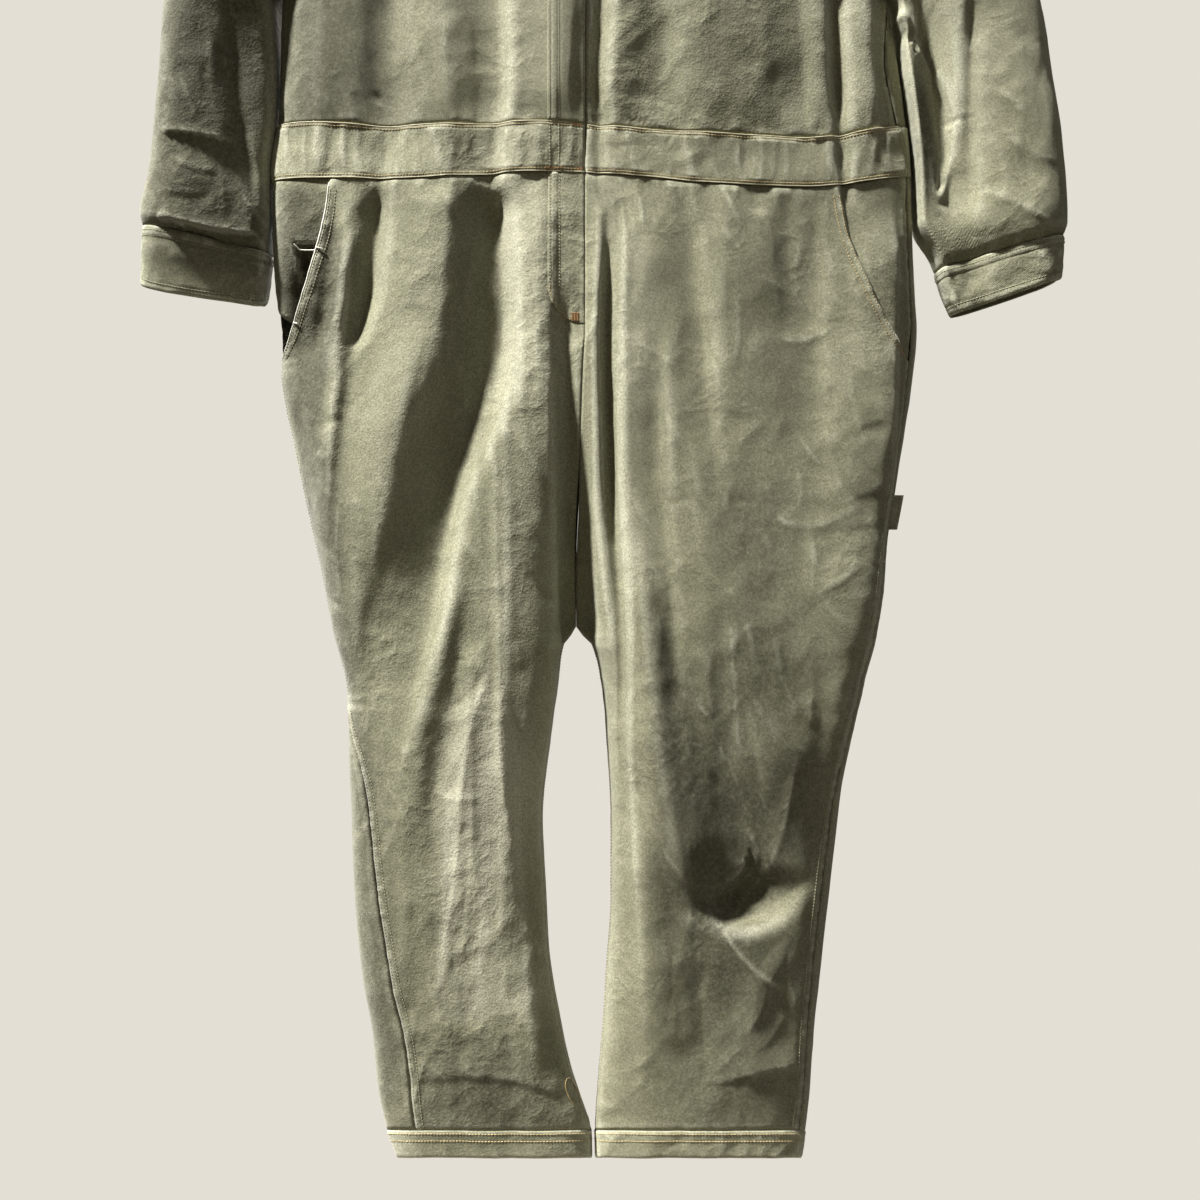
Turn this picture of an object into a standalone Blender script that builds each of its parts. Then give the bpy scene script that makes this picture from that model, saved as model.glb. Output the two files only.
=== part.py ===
"""Boiler suit of cotton twill, hung on a plain moulded hanger.

Every piece of cloth is a wall lofted over the garment's own surface, cut along its real seams. The
surface comes from level-by-level widths and depths, and from a short table of its main folds.
Sizes and places are in millimetres and become metres when a mesh is made. The origin is where the
rail carries the hanger's hook; +Z is up, the front faces -Y, and "left" and "right" are as seen from
the front. "Drop" is how far a level lies below the waistband's top seam.
"""
from collections import namedtuple
from math import cos, pi, radians, sin

import bmesh
import bpy
import numpy as np
from mathutils import Vector
from mathutils.bvhtree import BVHTree

MM = 0.001
FRONT, BACK = -1, 1
LEFT, RIGHT = -1, 1

# ---------------------------------------------------------------- driving sizes
CLOTH = 1.8              # wall of one layer with its seam allowance
BAND = 2.6               # waistband, cuffs and hem bands, folded double
SEAM_GAP = 0.3           # between pieces at a seam
HALF_GAP = SEAM_GAP / 2
LIE_GAP = 0.4            # under a piece that lies on a panel

WAIST_Z = -550.0         # waistband's top seam, below the hook's seat
CLOSURE_X = -5.0         # centre-front edge and centre-back seam
WAISTBAND = 49.0         # drop of the waistband's lower seam
CROTCH = 500.0
HEM_BAND_TOP = 1025.0
HEM = 1054.0
FLY_FOOT = 196.0
FLY_CURVE = 36.0         # height of the J at the fly's foot
PLACKET = 37.0           # width of the covered placket
BAND_PROUD = 0.8         # a band stands this far out of the panels that it joins
END_PROUD = 2.2          # the lapping end of the waistband stands further out

NECK_HALF = 78.0         # half width of the neck
SHOULDER_TOP_Z = -105.0  # where the shoulder seam meets the neck
SHOULDER_TIP = (252.0, -157.0)
FRONT_NECK = (38.0, 88.0)  # how far the front neckline lies forward, and how far it drops
BACK_NECK = (30.0, 20.0)
ARMHOLE_DEPTH = 46.0
SHOULDER_ROLL = 165.0    # height over which the cloth rounds off the hanger
NECK_SPREAD = 0.75       # the neckline opens out before it drops, so that it clears the hanger's arms
NECK_DROP = 1.5
ROUND = 2.0 / 2.6        # the body's section is a rounded oval
ROUND_INSIDE = 2.0 / 3.6  # squarer where the legs face each other
SLOT_TURN = 12.0         # depth over which the slot between the legs widens from the seam
HEM_RISE = 12.0          # the hem hangs higher in front
HEM_RISE_FROM = 900.0    # the drop from which it does
FRONT_SHARE = 1.6        # folds die away in the last part of a section's depth, towards its edges
SEAM_STRAIGHT = 160.0    # depth under the fly over which a leg front's columns even out
WAIST_SETTLE = 130.0     # depth under the waistband over which its seams' sag dies away

# Levels of the body: the outline's left and right edges, the front's and the back's depth.
Level = namedtuple("Level", "drop left right front back")
BODY = [
    Level(-165, -318, 303, 46, 38),
    Level(-100, -321, 316, 47, 38),
    Level(-17, -323, 328, 46, 37),
    Level(42, -330, 333, 46, 38),
    Level(94, -330, 334, 48, 44),
    Level(160, -326, 337, 50, 50),
    Level(192, -322, 339, 50, 52),
    Level(238, -320, 335, 51, 53),
    Level(317, -306, 323, 52, 54),
    Level(375, -294, 313, 53, 54),
    Level(436, -280, 301, 54, 53),
    Level(508, -265, 289, 54, 51),
    Level(569, -251, 276, 53, 49),
    Level(635, -250, 263, 51, 47),
    Level(702, -247, 256, 48, 45),
    Level(774, -245, 248, 45, 43),
    Level(868, -236, 238, 40, 40),
    Level(921, -227, 232, 36, 38),
    Level(981, -221, 228, 32, 35),
    Level(1019, -213, 224, 29, 33),
    Level(1054, -200, 219, 27, 32),
]

# Levels of the inner edges: where the legs face each other, how far round each leg its front and
# back have turned towards the inseam (90: flat across the middle, 180: a closed leg), and how far
# the roll of each front stands off the seam, which leaves a slot between the legs.
Inside = namedtuple("Inside", "drop left right front_turn back_turn left_slot right_slot")
INSIDE = [
    Inside(-165, -5, -5, 90, 90, 0, 0),
    Inside(196, -5, -5, 90, 90, 0, 0),
    Inside(240, -7, -7, 106, 92, 0, 0),
    Inside(317, -10, -10, 140, 104, 9, 2),
    Inside(375, -13, -13, 163, 128, 17, 7),
    Inside(436, -15, -15, 173, 155, 17, 13),
    Inside(500, -15, -15, 180, 180, 15, 17),
    Inside(522, -29, 3, 180, 180, 0, 0),
    Inside(560, -34, 12, 180, 180, 0, 0),
    Inside(610, -41, 17, 180, 180, 0, 0),
    Inside(700, -50, 22, 180, 180, 0, 0),
    Inside(788, -46, 22, 180, 180, 0, 0),
    Inside(841, -43, 18, 180, 180, 0, 0),
    Inside(907, -32, 14, 180, 180, 0, 0),
    Inside(960, -21, 9, 180, 180, 0, 0),
    Inside(1000, -7, 6, 180, 180, 0, 0),
    Inside(1024, 0.5, 5, 180, 180, 0, 0),
    Inside(1054, 1.5, 5.5, 180, 180, 0, 0),
]

# Side seams: how far in front of the outline each one shows, across the front.
Seam = namedtuple("Seam", "drop left right")
SIDE_SEAM = [
    Seam(-165, 0, 0),
    Seam(-110, 0, 24),
    Seam(-17, 0, 14),
    Seam(60, 0, 8),
    Seam(230, 0, 9),
    Seam(560, 0, 10),
    Seam(600, 3, 10),
    Seam(660, 19, 10),
    Seam(740, 27, 10),
    Seam(830, 34, 10),
    Seam(960, 39, 9),
    Seam(1054, 29, 8),
]

# The waistband's seams: how far each lies below its nominal drop, across the front.
Waist = namedtuple("Waist", "x top bottom")
WAIST_LINE = [
    Waist(-330, -17, -8),
    Waist(-170, -5, 0),
    Waist(-70, -7, -6),
    Waist(-5, -4, -5),
    Waist(60, 0, -1),
    Waist(110, 3, 4),
    Waist(210, 6, 7),
    Waist(333, -16, -12),
]

# Slant pockets: where the front's edge crosses each level.
Slant = namedtuple("Slant", "drop left right")
POCKET = [
    Slant(44, -264, 253),
    Slant(104, -272, 263),
    Slant(158, -285, 283),
    Slant(199, -301, 304),
    Slant(232, -320.5, 329),
]
POCKET_FOOT = 232.0
FACING_LAP = 16.0
FACING_SINK = 4.4
POCKET_GAPE = {LEFT: 11.0, RIGHT: 2.5}
GAPE_REACH = 42.0        # how far into the front the gape is felt
GAPE_TOP, GAPE_RISE, GAPE_FALL = 60.0, 90.0, 60.0  # the drop where it starts, and its two slopes

# Sleeve levels: outer and inner edge, half depth. The first is the armhole, the last the cuff's end.
Ring = namedtuple("Ring", "outer_x outer_z inner_x inner_z depth")
SLEEVES = {
    LEFT: [
        Ring(-252, -157, -318, -385, 46),
        Ring(-303, -186, -322, -398, 47),
        Ring(-352, -232, -325, -413, 46),
        Ring(-396, -297, -328, -434, 44),
        Ring(-424, -355, -329, -462, 42),
        Ring(-438, -410, -330, -495, 41),
        Ring(-442, -470, -331, -535, 40),
        Ring(-448, -527, -333, -578, 38),
        Ring(-454, -585, -334, -624, 37),
        Ring(-463, -627, -333, -655, 36),
        Ring(-461, -639, -333, -665, 31),
        Ring(-463, -664, -335, -690, 30),
        Ring(-465, -691, -339, -715, 29),
    ],
    RIGHT: [
        Ring(252, -157, 303, -382, 46),
        Ring(306, -188, 309, -396, 47),
        Ring(362, -238, 314, -410, 46),
        Ring(410, -302, 318, -431, 44),
        Ring(444, -360, 321, -459, 43),
        Ring(464, -415, 326, -494, 42),
        Ring(474, -475, 332, -535, 41),
        Ring(484, -535, 342, -580, 39),
        Ring(490, -597, 352, -634, 38),
        Ring(491, -636, 359, -670, 36),
        Ring(488, -649, 360, -682, 31),
        Ring(487, -670, 368, -704, 30),
        Ring(486, -691, 377, -727, 29),
    ],
}
CUFF_FIRST = 10          # the ring on the cuff's seam
SLEEVE_OVAL = 0.8

# The main folds, each a soft trough (negative) or ridge along a curve through three places, given
# across from the centre and down from the waist, with the reach of its left and right flanks.
Fold = namedtuple("Fold", "x0 drop0 x1 drop1 x2 drop2 height reach_left reach_right")
FRONT_FOLDS = [
    # bodice
    Fold(-238, -200, -236, -80, -240, 30, -7, 26, 22),
    Fold(-172, -260, -166, -80, -160, 40, 5, 22, 22),
    Fold(-116, -240, -112, -70, -108, 30, -8, 20, 20),
    Fold(-60, -250, -62, -100, -66, 20, 3, 18, 18),
    Fold(60, -220, 66, -110, 44, -20, -6, 16, 22),
    Fold(150, -250, 140, -120, 120, 0, -6, 24, 24),
    Fold(196, -260, 200, -100, 206, 10, 4, 20, 20),
    Fold(244, -170, 250, -40, 262, 54, -9, 9, 10),
    Fold(8, -14, 60, -14, 112, -4, 4, 9, 9),
    # left leg
    Fold(-238, 150, -252, 230, -264, 350, 9, 11, 13),
    Fold(-196, 64, -210, 160, -242, 232, -17, 16, 20),
    Fold(-108, 56, -122, 290, -172, 440, -21, 40, 15),
    Fold(-158, 400, -188, 520, -203, 690, -22, 26, 18),
    Fold(-72, 60, -70, 330, -88, 520, 9, 18, 24),
    Fold(-92, 500, -118, 620, -142, 740, 9, 16, 20),
    Fold(-225, 500, -224, 540, -228, 570, 6, 22, 20),
    Fold(-172, 962, -100, 968, -24, 978, -4, 9, 9),
    # right leg
    Fold(6, 56, 22, 300, 46, 630, -19, 11, 12),
    Fold(40, 200, 52, 420, 76, 640, 5, 14, 26),
    Fold(90, 58, 112, 210, 138, 360, -9, 14, 16),
    Fold(170, 90, 176, 240, 160, 420, -5, 24, 24),
    Fold(292, 300, 270, 330, 236, 352, -5, 10, 10),
    Fold(300, 366, 280, 380, 244, 388, -6, 10, 10),
    Fold(292, 404, 244, 412, 190, 420, -6, 10, 12),
    Fold(112, 470, 120, 640, 96, 820, -7, 26, 30),
    Fold(190, 500, 176, 700, 186, 900, -5, 26, 26),
    Fold(110, 960, 160, 962, 214, 956, -4, 9, 9),
]
BACK_FOLDS = [
    Fold(-216, -230, -206, -90, -214, 40, -8, 24, 22),
    Fold(-96, -260, -104, -100, -112, 50, -7, 24, 20),
    Fold(40, -250, 34, -90, 40, 40, 5, 22, 24),
    Fold(122, -240, 130, -90, 118, 50, -8, 20, 24),
    Fold(226, -220, 220, -80, 232, 40, -7, 22, 22),
    Fold(-232, 60, -214, 240, -180, 430, -9, 24, 20),
    Fold(-120, 56, -110, 220, -70, 440, -12, 20, 26),
    Fold(-176, 380, -152, 620, -170, 860, -11, 26, 22),
    Fold(-90, 420, -96, 640, -84, 900, 6, 22, 24),
    Fold(110, 56, 96, 230, 50, 450, -13, 24, 20),
    Fold(220, 60, 214, 240, 186, 420, -9, 22, 24),
    Fold(176, 380, 150, 620, 168, 880, -12, 24, 24),
    Fold(84, 480, 92, 680, 80, 900, 6, 22, 22),
]
FADE_OUT = 0.16          # share of a fold's length over which each end dies away

# Sleeve folds: along the sleeve (0 armhole, 1 cuff seam), round it (degrees from the outer edge,
# through the front), how high, and how far it reaches along and round.
SleeveFold = namedtuple("SleeveFold", "along round height reach_along reach_round")
SLEEVE_FOLDS = {
    LEFT: [
        SleeveFold(0.30, 80, 5, 0.12, 30),
        SleeveFold(0.45, 60, -6, 0.10, 26),
        SleeveFold(0.62, 110, -7, 0.20, 20),
        SleeveFold(0.70, 50, 4, 0.05, 60),
        SleeveFold(0.76, 80, -5, 0.04, 60),
        SleeveFold(0.90, 95, 3, 0.06, 70),
        SleeveFold(0.50, 250, -6, 0.16, 24),
        SleeveFold(0.78, 285, -5, 0.06, 50),
    ],
    RIGHT: [
        SleeveFold(0.30, 70, 5, 0.12, 30),
        SleeveFold(0.50, 108, -9, 0.26, 17),
        SleeveFold(0.56, 76, 4, 0.22, 22),
        SleeveFold(0.70, 45, 4, 0.05, 46),
        SleeveFold(0.84, 70, -5, 0.05, 50),
        SleeveFold(0.93, 90, 3, 0.05, 70),
        SleeveFold(0.50, 245, -6, 0.16, 24),
        SleeveFold(0.78, 280, -5, 0.06, 50),
    ],
}

# Collar
STAND_HEIGHT = 30.0
STAND_LEAN = 5.0
FALL_TURN = 3.2          # how far outside the stand the fall hangs
FALL_SIDE = 38.0         # how far it reaches over the shoulder
FALL_BACK = 26.0         # how far it reaches below the back neck
FALL_POINT = (26.0, 66.0)  # its front points: away from the closure, and below the neckline
TIP_SHARE = 0.45         # share of that drop that only the points themselves have
FALL_LIFT = 4.8          # its outer face above the panels and the placket
FALL_ARCH = 6.0          # how much higher it arches between its edges and over the shoulder's turn
STAND_SEAT = 0.5

# Hanger
ARM_RADIUS = 6.0
ARM_SEAT = 10.0          # the arm's centre below the shoulder seam
ARM_HALF = 216.0
ARM_BEND = 150.0         # the arms are arched within this distance of the middle
ARM_STEPS = 13
WIRE_RADIUS = 3.0
HOOK_RADIUS = 21.0

# Hammer loop, in the right side seam
LOOP_TOP, LOOP_FOOT = 366.0, 401.0
LOOP_REACH = 16.0        # how far it stands out of the seam
LOOP_HALF = 2.6          # half its thickness, with the space between its layers
LOOP_WALL = 1.6
LOOP_TURN = 10.0         # degrees that it is turned back from straight across

# ---------------------------------------------------------------- how finely each piece is built
WAIST_TO_UNDERARM = 7
UNDERARM_TO_SHOULDER = 8
FRONT_COLUMNS = 14
TO_SIDE = 1.25           # over 1, a front's columns close up towards the side seam
BACK_COLUMNS = 11
NECK_COLUMN = 4          # the bodice's column that ends at the neck's corner
LEG_ROWS = ((WAISTBAND, FLY_FOOT, 6), (FLY_FOOT, CROTCH, 12), (CROTCH, HEM_BAND_TOP, 15))
DENSE = 160              # points along each section before it is read at even steps


# ---------------------------------------------------------------- curves and sections
def glide(knots, values, at):
    """A smooth curve through the values at the knots, never past them, read at the places given."""
    knots = np.asarray(knots, float)
    values = np.asarray(values, float)
    at = np.clip(np.asarray(at, float), knots[0], knots[-1])
    rise = np.diff(values) / np.diff(knots)
    slope = np.zeros(len(knots))
    turning = rise[:-1] * rise[1:] <= 0
    safe = np.where(turning, 1.0, rise[:-1] + rise[1:])
    slope[1:-1] = np.where(turning, 0.0, 2 * rise[:-1] * rise[1:] / safe)
    slope[0], slope[-1] = rise[0], rise[-1]
    i = np.clip(np.searchsorted(knots, at, side="right") - 1, 0, len(knots) - 2)
    step = knots[i + 1] - knots[i]
    t = (at - knots[i]) / step
    return (values[i] * (1 + 2 * t) * (1 - t) ** 2 + slope[i] * step * t * (1 - t) ** 2
            + values[i + 1] * t * t * (3 - 2 * t) + slope[i + 1] * step * t * t * (t - 1))


def column(table, name, at):
    """One named column of a table, read as a smooth curve along the table's first column."""
    first = table[0]._fields[0]
    return glide([getattr(row, first) for row in table], [getattr(row, name) for row in table], at)


def side_name(side):
    return "left" if side == LEFT else "right"


def ease(t):
    t = np.clip(t, 0.0, 1.0)
    return t * t * (3 - 2 * t)


def waist_z(name, x):
    """Height of the waistband's top or bottom seam at x."""
    nominal = 0.0 if name == "top" else WAISTBAND
    return WAIST_Z - nominal - column(WAIST_LINE, name, x)


def fold_height(folds, x, z):
    """How far the folds push the cloth out at (x, z): each is a soft ridge along a bent line."""
    x = np.asarray(x, float)
    drop = WAIST_Z - np.asarray(z, float)
    total = np.zeros_like(x)
    for fold in folds:
        t = np.linspace(0.0, 1.0, 25)
        # a curve through the three places
        line_x = fold.x0 * (1 - t) * (1 - 2 * t) + fold.x1 * 4 * t * (1 - t) + fold.x2 * t * (2 * t - 1)
        line_d = (fold.drop0 * (1 - t) * (1 - 2 * t) + fold.drop1 * 4 * t * (1 - t)
                  + fold.drop2 * t * (2 * t - 1))
        away = (x[..., None] - line_x) ** 2 + (drop[..., None] - line_d) ** 2
        nearest = np.argmin(away, axis=-1)
        run_x = np.gradient(line_x)[nearest]
        run_d = np.gradient(line_d)[nearest]
        length = np.hypot(run_x, run_d)
        off_x = x - line_x[nearest]
        off_d = drop - line_d[nearest]
        across = (off_x * run_d - off_d * run_x) / length
        along = (off_x * run_x + off_d * run_d) / length
        reach = np.where(across < 0, fold.reach_left, fold.reach_right)
        past_end = np.where((nearest == 0) | (nearest == len(t) - 1), along, 0.0)
        place = t[nearest]
        taper = ease(place / FADE_OUT) * ease((1 - place) / FADE_OUT)
        total += fold.height * taper * np.exp(-(across / reach) ** 2 - (past_end / 20.0) ** 2)
    return total


def outward(points):
    """Horizontal normals of a dense section, to the left of its run, seen from above."""
    run = np.gradient(points[:, :2], axis=0)
    normal = np.stack([run[:, 1], -run[:, 0], np.zeros(len(run))], axis=1)
    return normal / np.linalg.norm(normal, axis=1)[:, None]


def arc_of(points):
    """Length along a section, seen from above."""
    steps = np.hypot(*np.diff(points[:, :2], axis=0).T)
    return np.concatenate([[0.0], np.cumsum(steps)])


def read_at(arc, values, places):
    return np.stack([np.interp(places, arc, values[:, k]) for k in range(3)], axis=1)


def read_row(section, places):
    """Points and unit normals of a section at places along it."""
    points, normal, arc = section[:3]
    outwards = read_at(arc, normal, places)
    return read_at(arc, points, places), outwards / np.linalg.norm(outwards, axis=1)[:, None]


def meet_at_seam(section, row, outwards, end, sign):
    """Ends a row half a gap from the side seam, with the seam's own normal, on either side of it."""
    points, _, arc, seam, facing = section
    here, beyond = read_at(arc, points, [seam, seam + 2])
    run = np.array([-facing[1], facing[0], 0.0])
    run *= np.sign(run @ (beyond - here))
    row[end] = here + run * sign * HALF_GAP
    outwards[end] = facing


def half_section(side, drop):
    """One side of the body at a level: from the front's inner edge round the side to the back's.

    Past the crotch the section is a closed leg. Returns the points, their outward normals, the arc
    length along them, and the side seam's place and normal."""
    name = side_name(side)
    out = float(column(BODY, name, drop))
    inn = float(column(INSIDE, name, drop))
    front_turn = radians(float(column(INSIDE, "front_turn", drop)))
    back_turn = radians(float(column(INSIDE, "back_turn", drop)))
    inner_half = abs(inn - out) / 2

    def quarter_turns(turn, depth, face):
        theta = np.linspace(0.0, turn, DENSE)
        centre = inn + side * inner_half * abs(cos(turn)) ** ROUND_INSIDE
        outside = theta < pi / 2
        reach = np.where(outside, abs(out - centre), inner_half)
        power = np.where(outside, ROUND, ROUND_INSIDE)
        x = centre + side * np.sign(np.cos(theta)) * reach * np.abs(np.cos(theta)) ** power
        y = face * depth * np.abs(np.sin(theta)) ** power
        if face == FRONT:
            inward = np.where(outside, 0.0, np.abs(np.cos(theta)))
            off_seam = ease((np.abs(y) - abs(y[-1])) / SLOT_TURN) * inward
            x = x + side * float(column(INSIDE, f"{name}_slot", drop)) * off_seam ** ROUND_INSIDE
        return np.stack([x, y, np.zeros(DENSE)], axis=1)

    front = quarter_turns(front_turn, float(column(BODY, "front", drop)), FRONT)[::-1]
    back = quarter_turns(back_turn, float(column(BODY, "back", drop)), BACK)[1:]
    points = np.concatenate([front, back])
    points[:, 2] = level_z(points[:, 0], drop)
    normal = side * outward(points)
    smooth_normal = normal
    facing_front = points[:, 1] <= 0
    height = np.where(facing_front, fold_height(FRONT_FOLDS, points[:, 0], points[:, 2]),
                      fold_height(BACK_FOLDS, points[:, 0], points[:, 2]))
    # folds die away round the sides and at the inner edges, where the legs face each other
    depth = np.where(facing_front, column(BODY, "front", drop), column(BODY, "back", drop))
    flatness = np.abs(points[:, 1]) / depth
    height = height * ease(FRONT_SHARE * flatness)
    hem_rise = HEM_RISE * float(ease((drop - HEM_RISE_FROM) / (HEM - HEM_RISE_FROM) * 1.4))
    points[:, 2] += np.where(facing_front, hem_rise, 0.0) * flatness
    points = points + normal * height[:, None]
    if drop <= CROTCH:
        edge = inn + side * HALF_GAP
        points[:, 0] = np.maximum(points[:, 0], edge) if side == RIGHT else np.minimum(points[:, 0], edge)
    normal = side * outward(points)
    if drop < FLY_FOOT + 1:
        normal[0] = (0, FRONT, 0)
        normal[-1] = (0, BACK, 0)
    elif drop >= CROTCH:
        normal[0] = normal[-1] = (-side, 0, 0)
    arc = arc_of(points)
    seam_in = float(column(SIDE_SEAM, name, drop))
    seam = DENSE - 1
    if seam_in > 0.5:
        seam = int(np.argmin(np.abs(points[DENSE // 2:DENSE, 0] - (out - side * seam_in)))) + DENSE // 2
    return points, normal, arc, arc[seam], smooth_normal[seam]


def level_z(x, drop):
    """Height of a level at x: it follows the waist seams near the waist and is flat lower down."""
    nominal = WAIST_Z - drop
    top = column(WAIST_LINE, "top", x)
    bottom = column(WAIST_LINE, "bottom", x)
    share = np.clip(drop / WAISTBAND, 0.0, 1.0)
    sag = top * (1 - share) + bottom * share
    return nominal - sag * (1 - ease((drop - WAISTBAND) / WAIST_SETTLE))


# ---------------------------------------------------------------- meshes
def material(name, colour, roughness, metallic=0.0):
    made = bpy.data.materials.new(name)
    made.use_nodes = True
    shader = made.node_tree.nodes["Principled BSDF"]
    shader.inputs["Base Color"].default_value = (*colour, 1.0)
    shader.inputs["Roughness"].default_value = roughness
    shader.inputs["Metallic"].default_value = metallic
    return made


def add_object(name, mesh, finish, parts):
    thing = bpy.data.objects.new(name, mesh)
    thing.data.materials.append(finish)
    parts.objects.link(thing)
    return thing


def loft(name, outer, inner, closed, finish, parts):
    """A cloth wall between two grids of points, rows by columns; closed makes each row a ring."""
    rows, columns = outer.shape[:2]
    mesh_build = bmesh.new()
    skins = []
    for grid in (outer, inner):
        skins.append([[mesh_build.verts.new(Vector(grid[r, c] * MM)) for c in range(columns)]
                      for r in range(rows)])
    out, inn = skins
    around = columns if closed else columns - 1
    for r in range(rows - 1):
        for c in range(around):
            d = (c + 1) % columns
            mesh_build.faces.new((out[r][c], out[r][d], out[r + 1][d], out[r + 1][c]))
            mesh_build.faces.new((inn[r][c], inn[r + 1][c], inn[r + 1][d], inn[r][d]))
    for c in range(around):
        d = (c + 1) % columns
        mesh_build.faces.new((out[0][d], out[0][c], inn[0][c], inn[0][d]))
        mesh_build.faces.new((out[-1][c], out[-1][d], inn[-1][d], inn[-1][c]))
    if not closed:
        for r in range(rows - 1):
            mesh_build.faces.new((out[r][0], out[r + 1][0], inn[r + 1][0], inn[r][0]))
            mesh_build.faces.new((out[r + 1][-1], out[r][-1], inn[r][-1], inn[r + 1][-1]))
    if mesh_build.calc_volume(signed=True) < 0:
        bmesh.ops.reverse_faces(mesh_build, faces=mesh_build.faces)
    mesh = bpy.data.meshes.new(name)
    mesh_build.to_mesh(mesh)
    mesh_build.free()
    mesh.shade_smooth()
    mesh.set_sharp_from_angle(angle=radians(40))
    return add_object(name, mesh, finish, parts)


def wall(name, points, normals, thickness, finish, parts, proud=0.0, closed=False):
    """A loft whose outer skin stands proud of the points and whose inner skin is a thickness further in."""
    outer = points + normals * proud
    return loft(name, outer, outer - normals * thickness, closed, finish, parts)


def grid_normals(grid, side_out, closed=False):
    """Normals of a grid of points, turned to agree with a rough outward direction for each point."""
    if closed:
        wrapped = np.concatenate([grid[:, -1:], grid, grid[:, :1]], axis=1)
        across = np.gradient(wrapped, axis=1)[:, 1:-1]
    else:
        across = np.gradient(grid, axis=1)
    down = np.gradient(grid, axis=0)
    normal = np.cross(across, down)
    normal /= np.linalg.norm(normal, axis=2)[..., None]
    return normal * np.sign((normal * side_out).sum(axis=2))[..., None]


def within_plane(normals, axis):
    """The normals with their share along an axis taken out, so that a rim there is square to the axis."""
    axis = np.asarray(axis, float) / np.linalg.norm(axis)
    flat = normals - (normals @ axis)[..., None] * axis
    return flat / np.linalg.norm(flat, axis=-1)[..., None]


# ---------------------------------------------------------------- trousers and waistband
def front_places(begin, lap, end):
    """Column places of a front from its closure edge: two steps under the placket, then closer steps
    towards the side, where the section turns."""
    steps = 1 - (1 - np.linspace(0.0, 1.0, FRONT_COLUMNS - 2)) ** TO_SIDE
    return np.concatenate([[begin, lap / 2], lap + (end - lap) * steps])


def leg_levels():
    drops = []
    for first, last, steps in LEG_ROWS:
        drops.extend(np.linspace(first, last, steps + 1)[:-1])
    drops.append(HEM_BAND_TOP)
    return [float(d) for d in drops]


def slant_place(side, drop, points, arc):
    """Where the pocket's slanted edge crosses a section, as a length along it."""
    x = float(column(POCKET, side_name(side), drop))
    front = slice(DENSE // 2, DENSE)
    return float(arc[front][int(np.argmin(np.abs(points[front, 0] - x)))])


def leg_rows(side):
    """For each level of a leg: its dense section and the place of its seams and pocket edge."""
    rows = []
    for drop in leg_levels():
        section = half_section(side, drop)
        seam = section[3]
        edge = slant_place(side, drop, section[0], section[2]) if drop < POCKET_FOOT else seam
        rows.append((drop, section, min(edge, seam)))
    return rows


def trim_rows(grid, low, high):
    """Half a seam's gap taken off the top and bottom rows of a grid."""
    grid[0, :, 2] -= low
    grid[-1, :, 2] += high
    return grid


def leg_front(side, rows, finish, parts):
    grid, normals = [], []
    for drop, section, edge in rows:
        begin = HALF_GAP if drop > CROTCH else 0.0
        share = ease((drop - FLY_FOOT) / SEAM_STRAIGHT)
        even = begin + (edge - begin) * (1 - (1 - np.linspace(0.0, 1.0, FRONT_COLUMNS)) ** TO_SIDE)
        places = front_places(begin, PLACKET, edge) * (1 - share) + even * share
        row, outwards = read_row(section, places)
        if drop >= POCKET_FOOT:
            meet_at_seam(section, row, outwards, -1, -1)
        else:
            gape = (POCKET_GAPE[side] * ease((drop - GAPE_TOP) / GAPE_RISE)
                    * ease((POCKET_FOOT - drop) / GAPE_FALL))
            row = row + outwards * (gape * np.exp(-((edge - places) / GAPE_REACH) ** 2))[:, None]
        grid.append(row)
        normals.append(outwards)
    grid = trim_rows(np.array(grid), HALF_GAP, HALF_GAP)
    wall(f"leg_front_{side_name(side)}", grid, np.array(normals), CLOTH, finish, parts)
    return grid, np.array(normals)


def leg_back(side, rows, finish, parts):
    grid, normals = [], []
    for drop, section, _ in rows:
        end = section[2][-1] - (HALF_GAP if drop > CROTCH else 0.0)
        row, outwards = read_row(section, np.linspace(section[3], end, BACK_COLUMNS))
        meet_at_seam(section, row, outwards, 0, 1)
        grid.append(row)
        normals.append(outwards)
    grid = trim_rows(np.array(grid), HALF_GAP, HALF_GAP)
    wall(f"leg_back_{side_name(side)}", grid, np.array(normals), CLOTH, finish, parts)


def pocket_facing(side, rows, finish, parts):
    """The facing that shows in the pocket's mouth: level with the back at the side seam, and sunk
    under the front's slanted edge."""
    grid, normals = [], []
    for drop, section, edge in rows:
        if drop > POCKET_FOOT - 6:
            break
        seam = section[3]
        places = np.linspace(edge - FACING_LAP, seam, 6)
        at_foot = float(ease((drop - (POCKET_FOOT - 60.0)) / 30.0))
        sink = FACING_SINK * np.maximum(ease((seam - places) / max(seam - edge, 1.0)), at_foot)
        row, outwards = read_row(section, places)
        meet_at_seam(section, row, outwards, -1, -1)
        grid.append(row - outwards * sink[:, None])
        normals.append(outwards)
    grid = trim_rows(np.array(grid), HALF_GAP, 0.0)
    wall(f"pocket_facing_{side_name(side)}", grid, np.array(normals), CLOTH, finish, parts)


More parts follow.
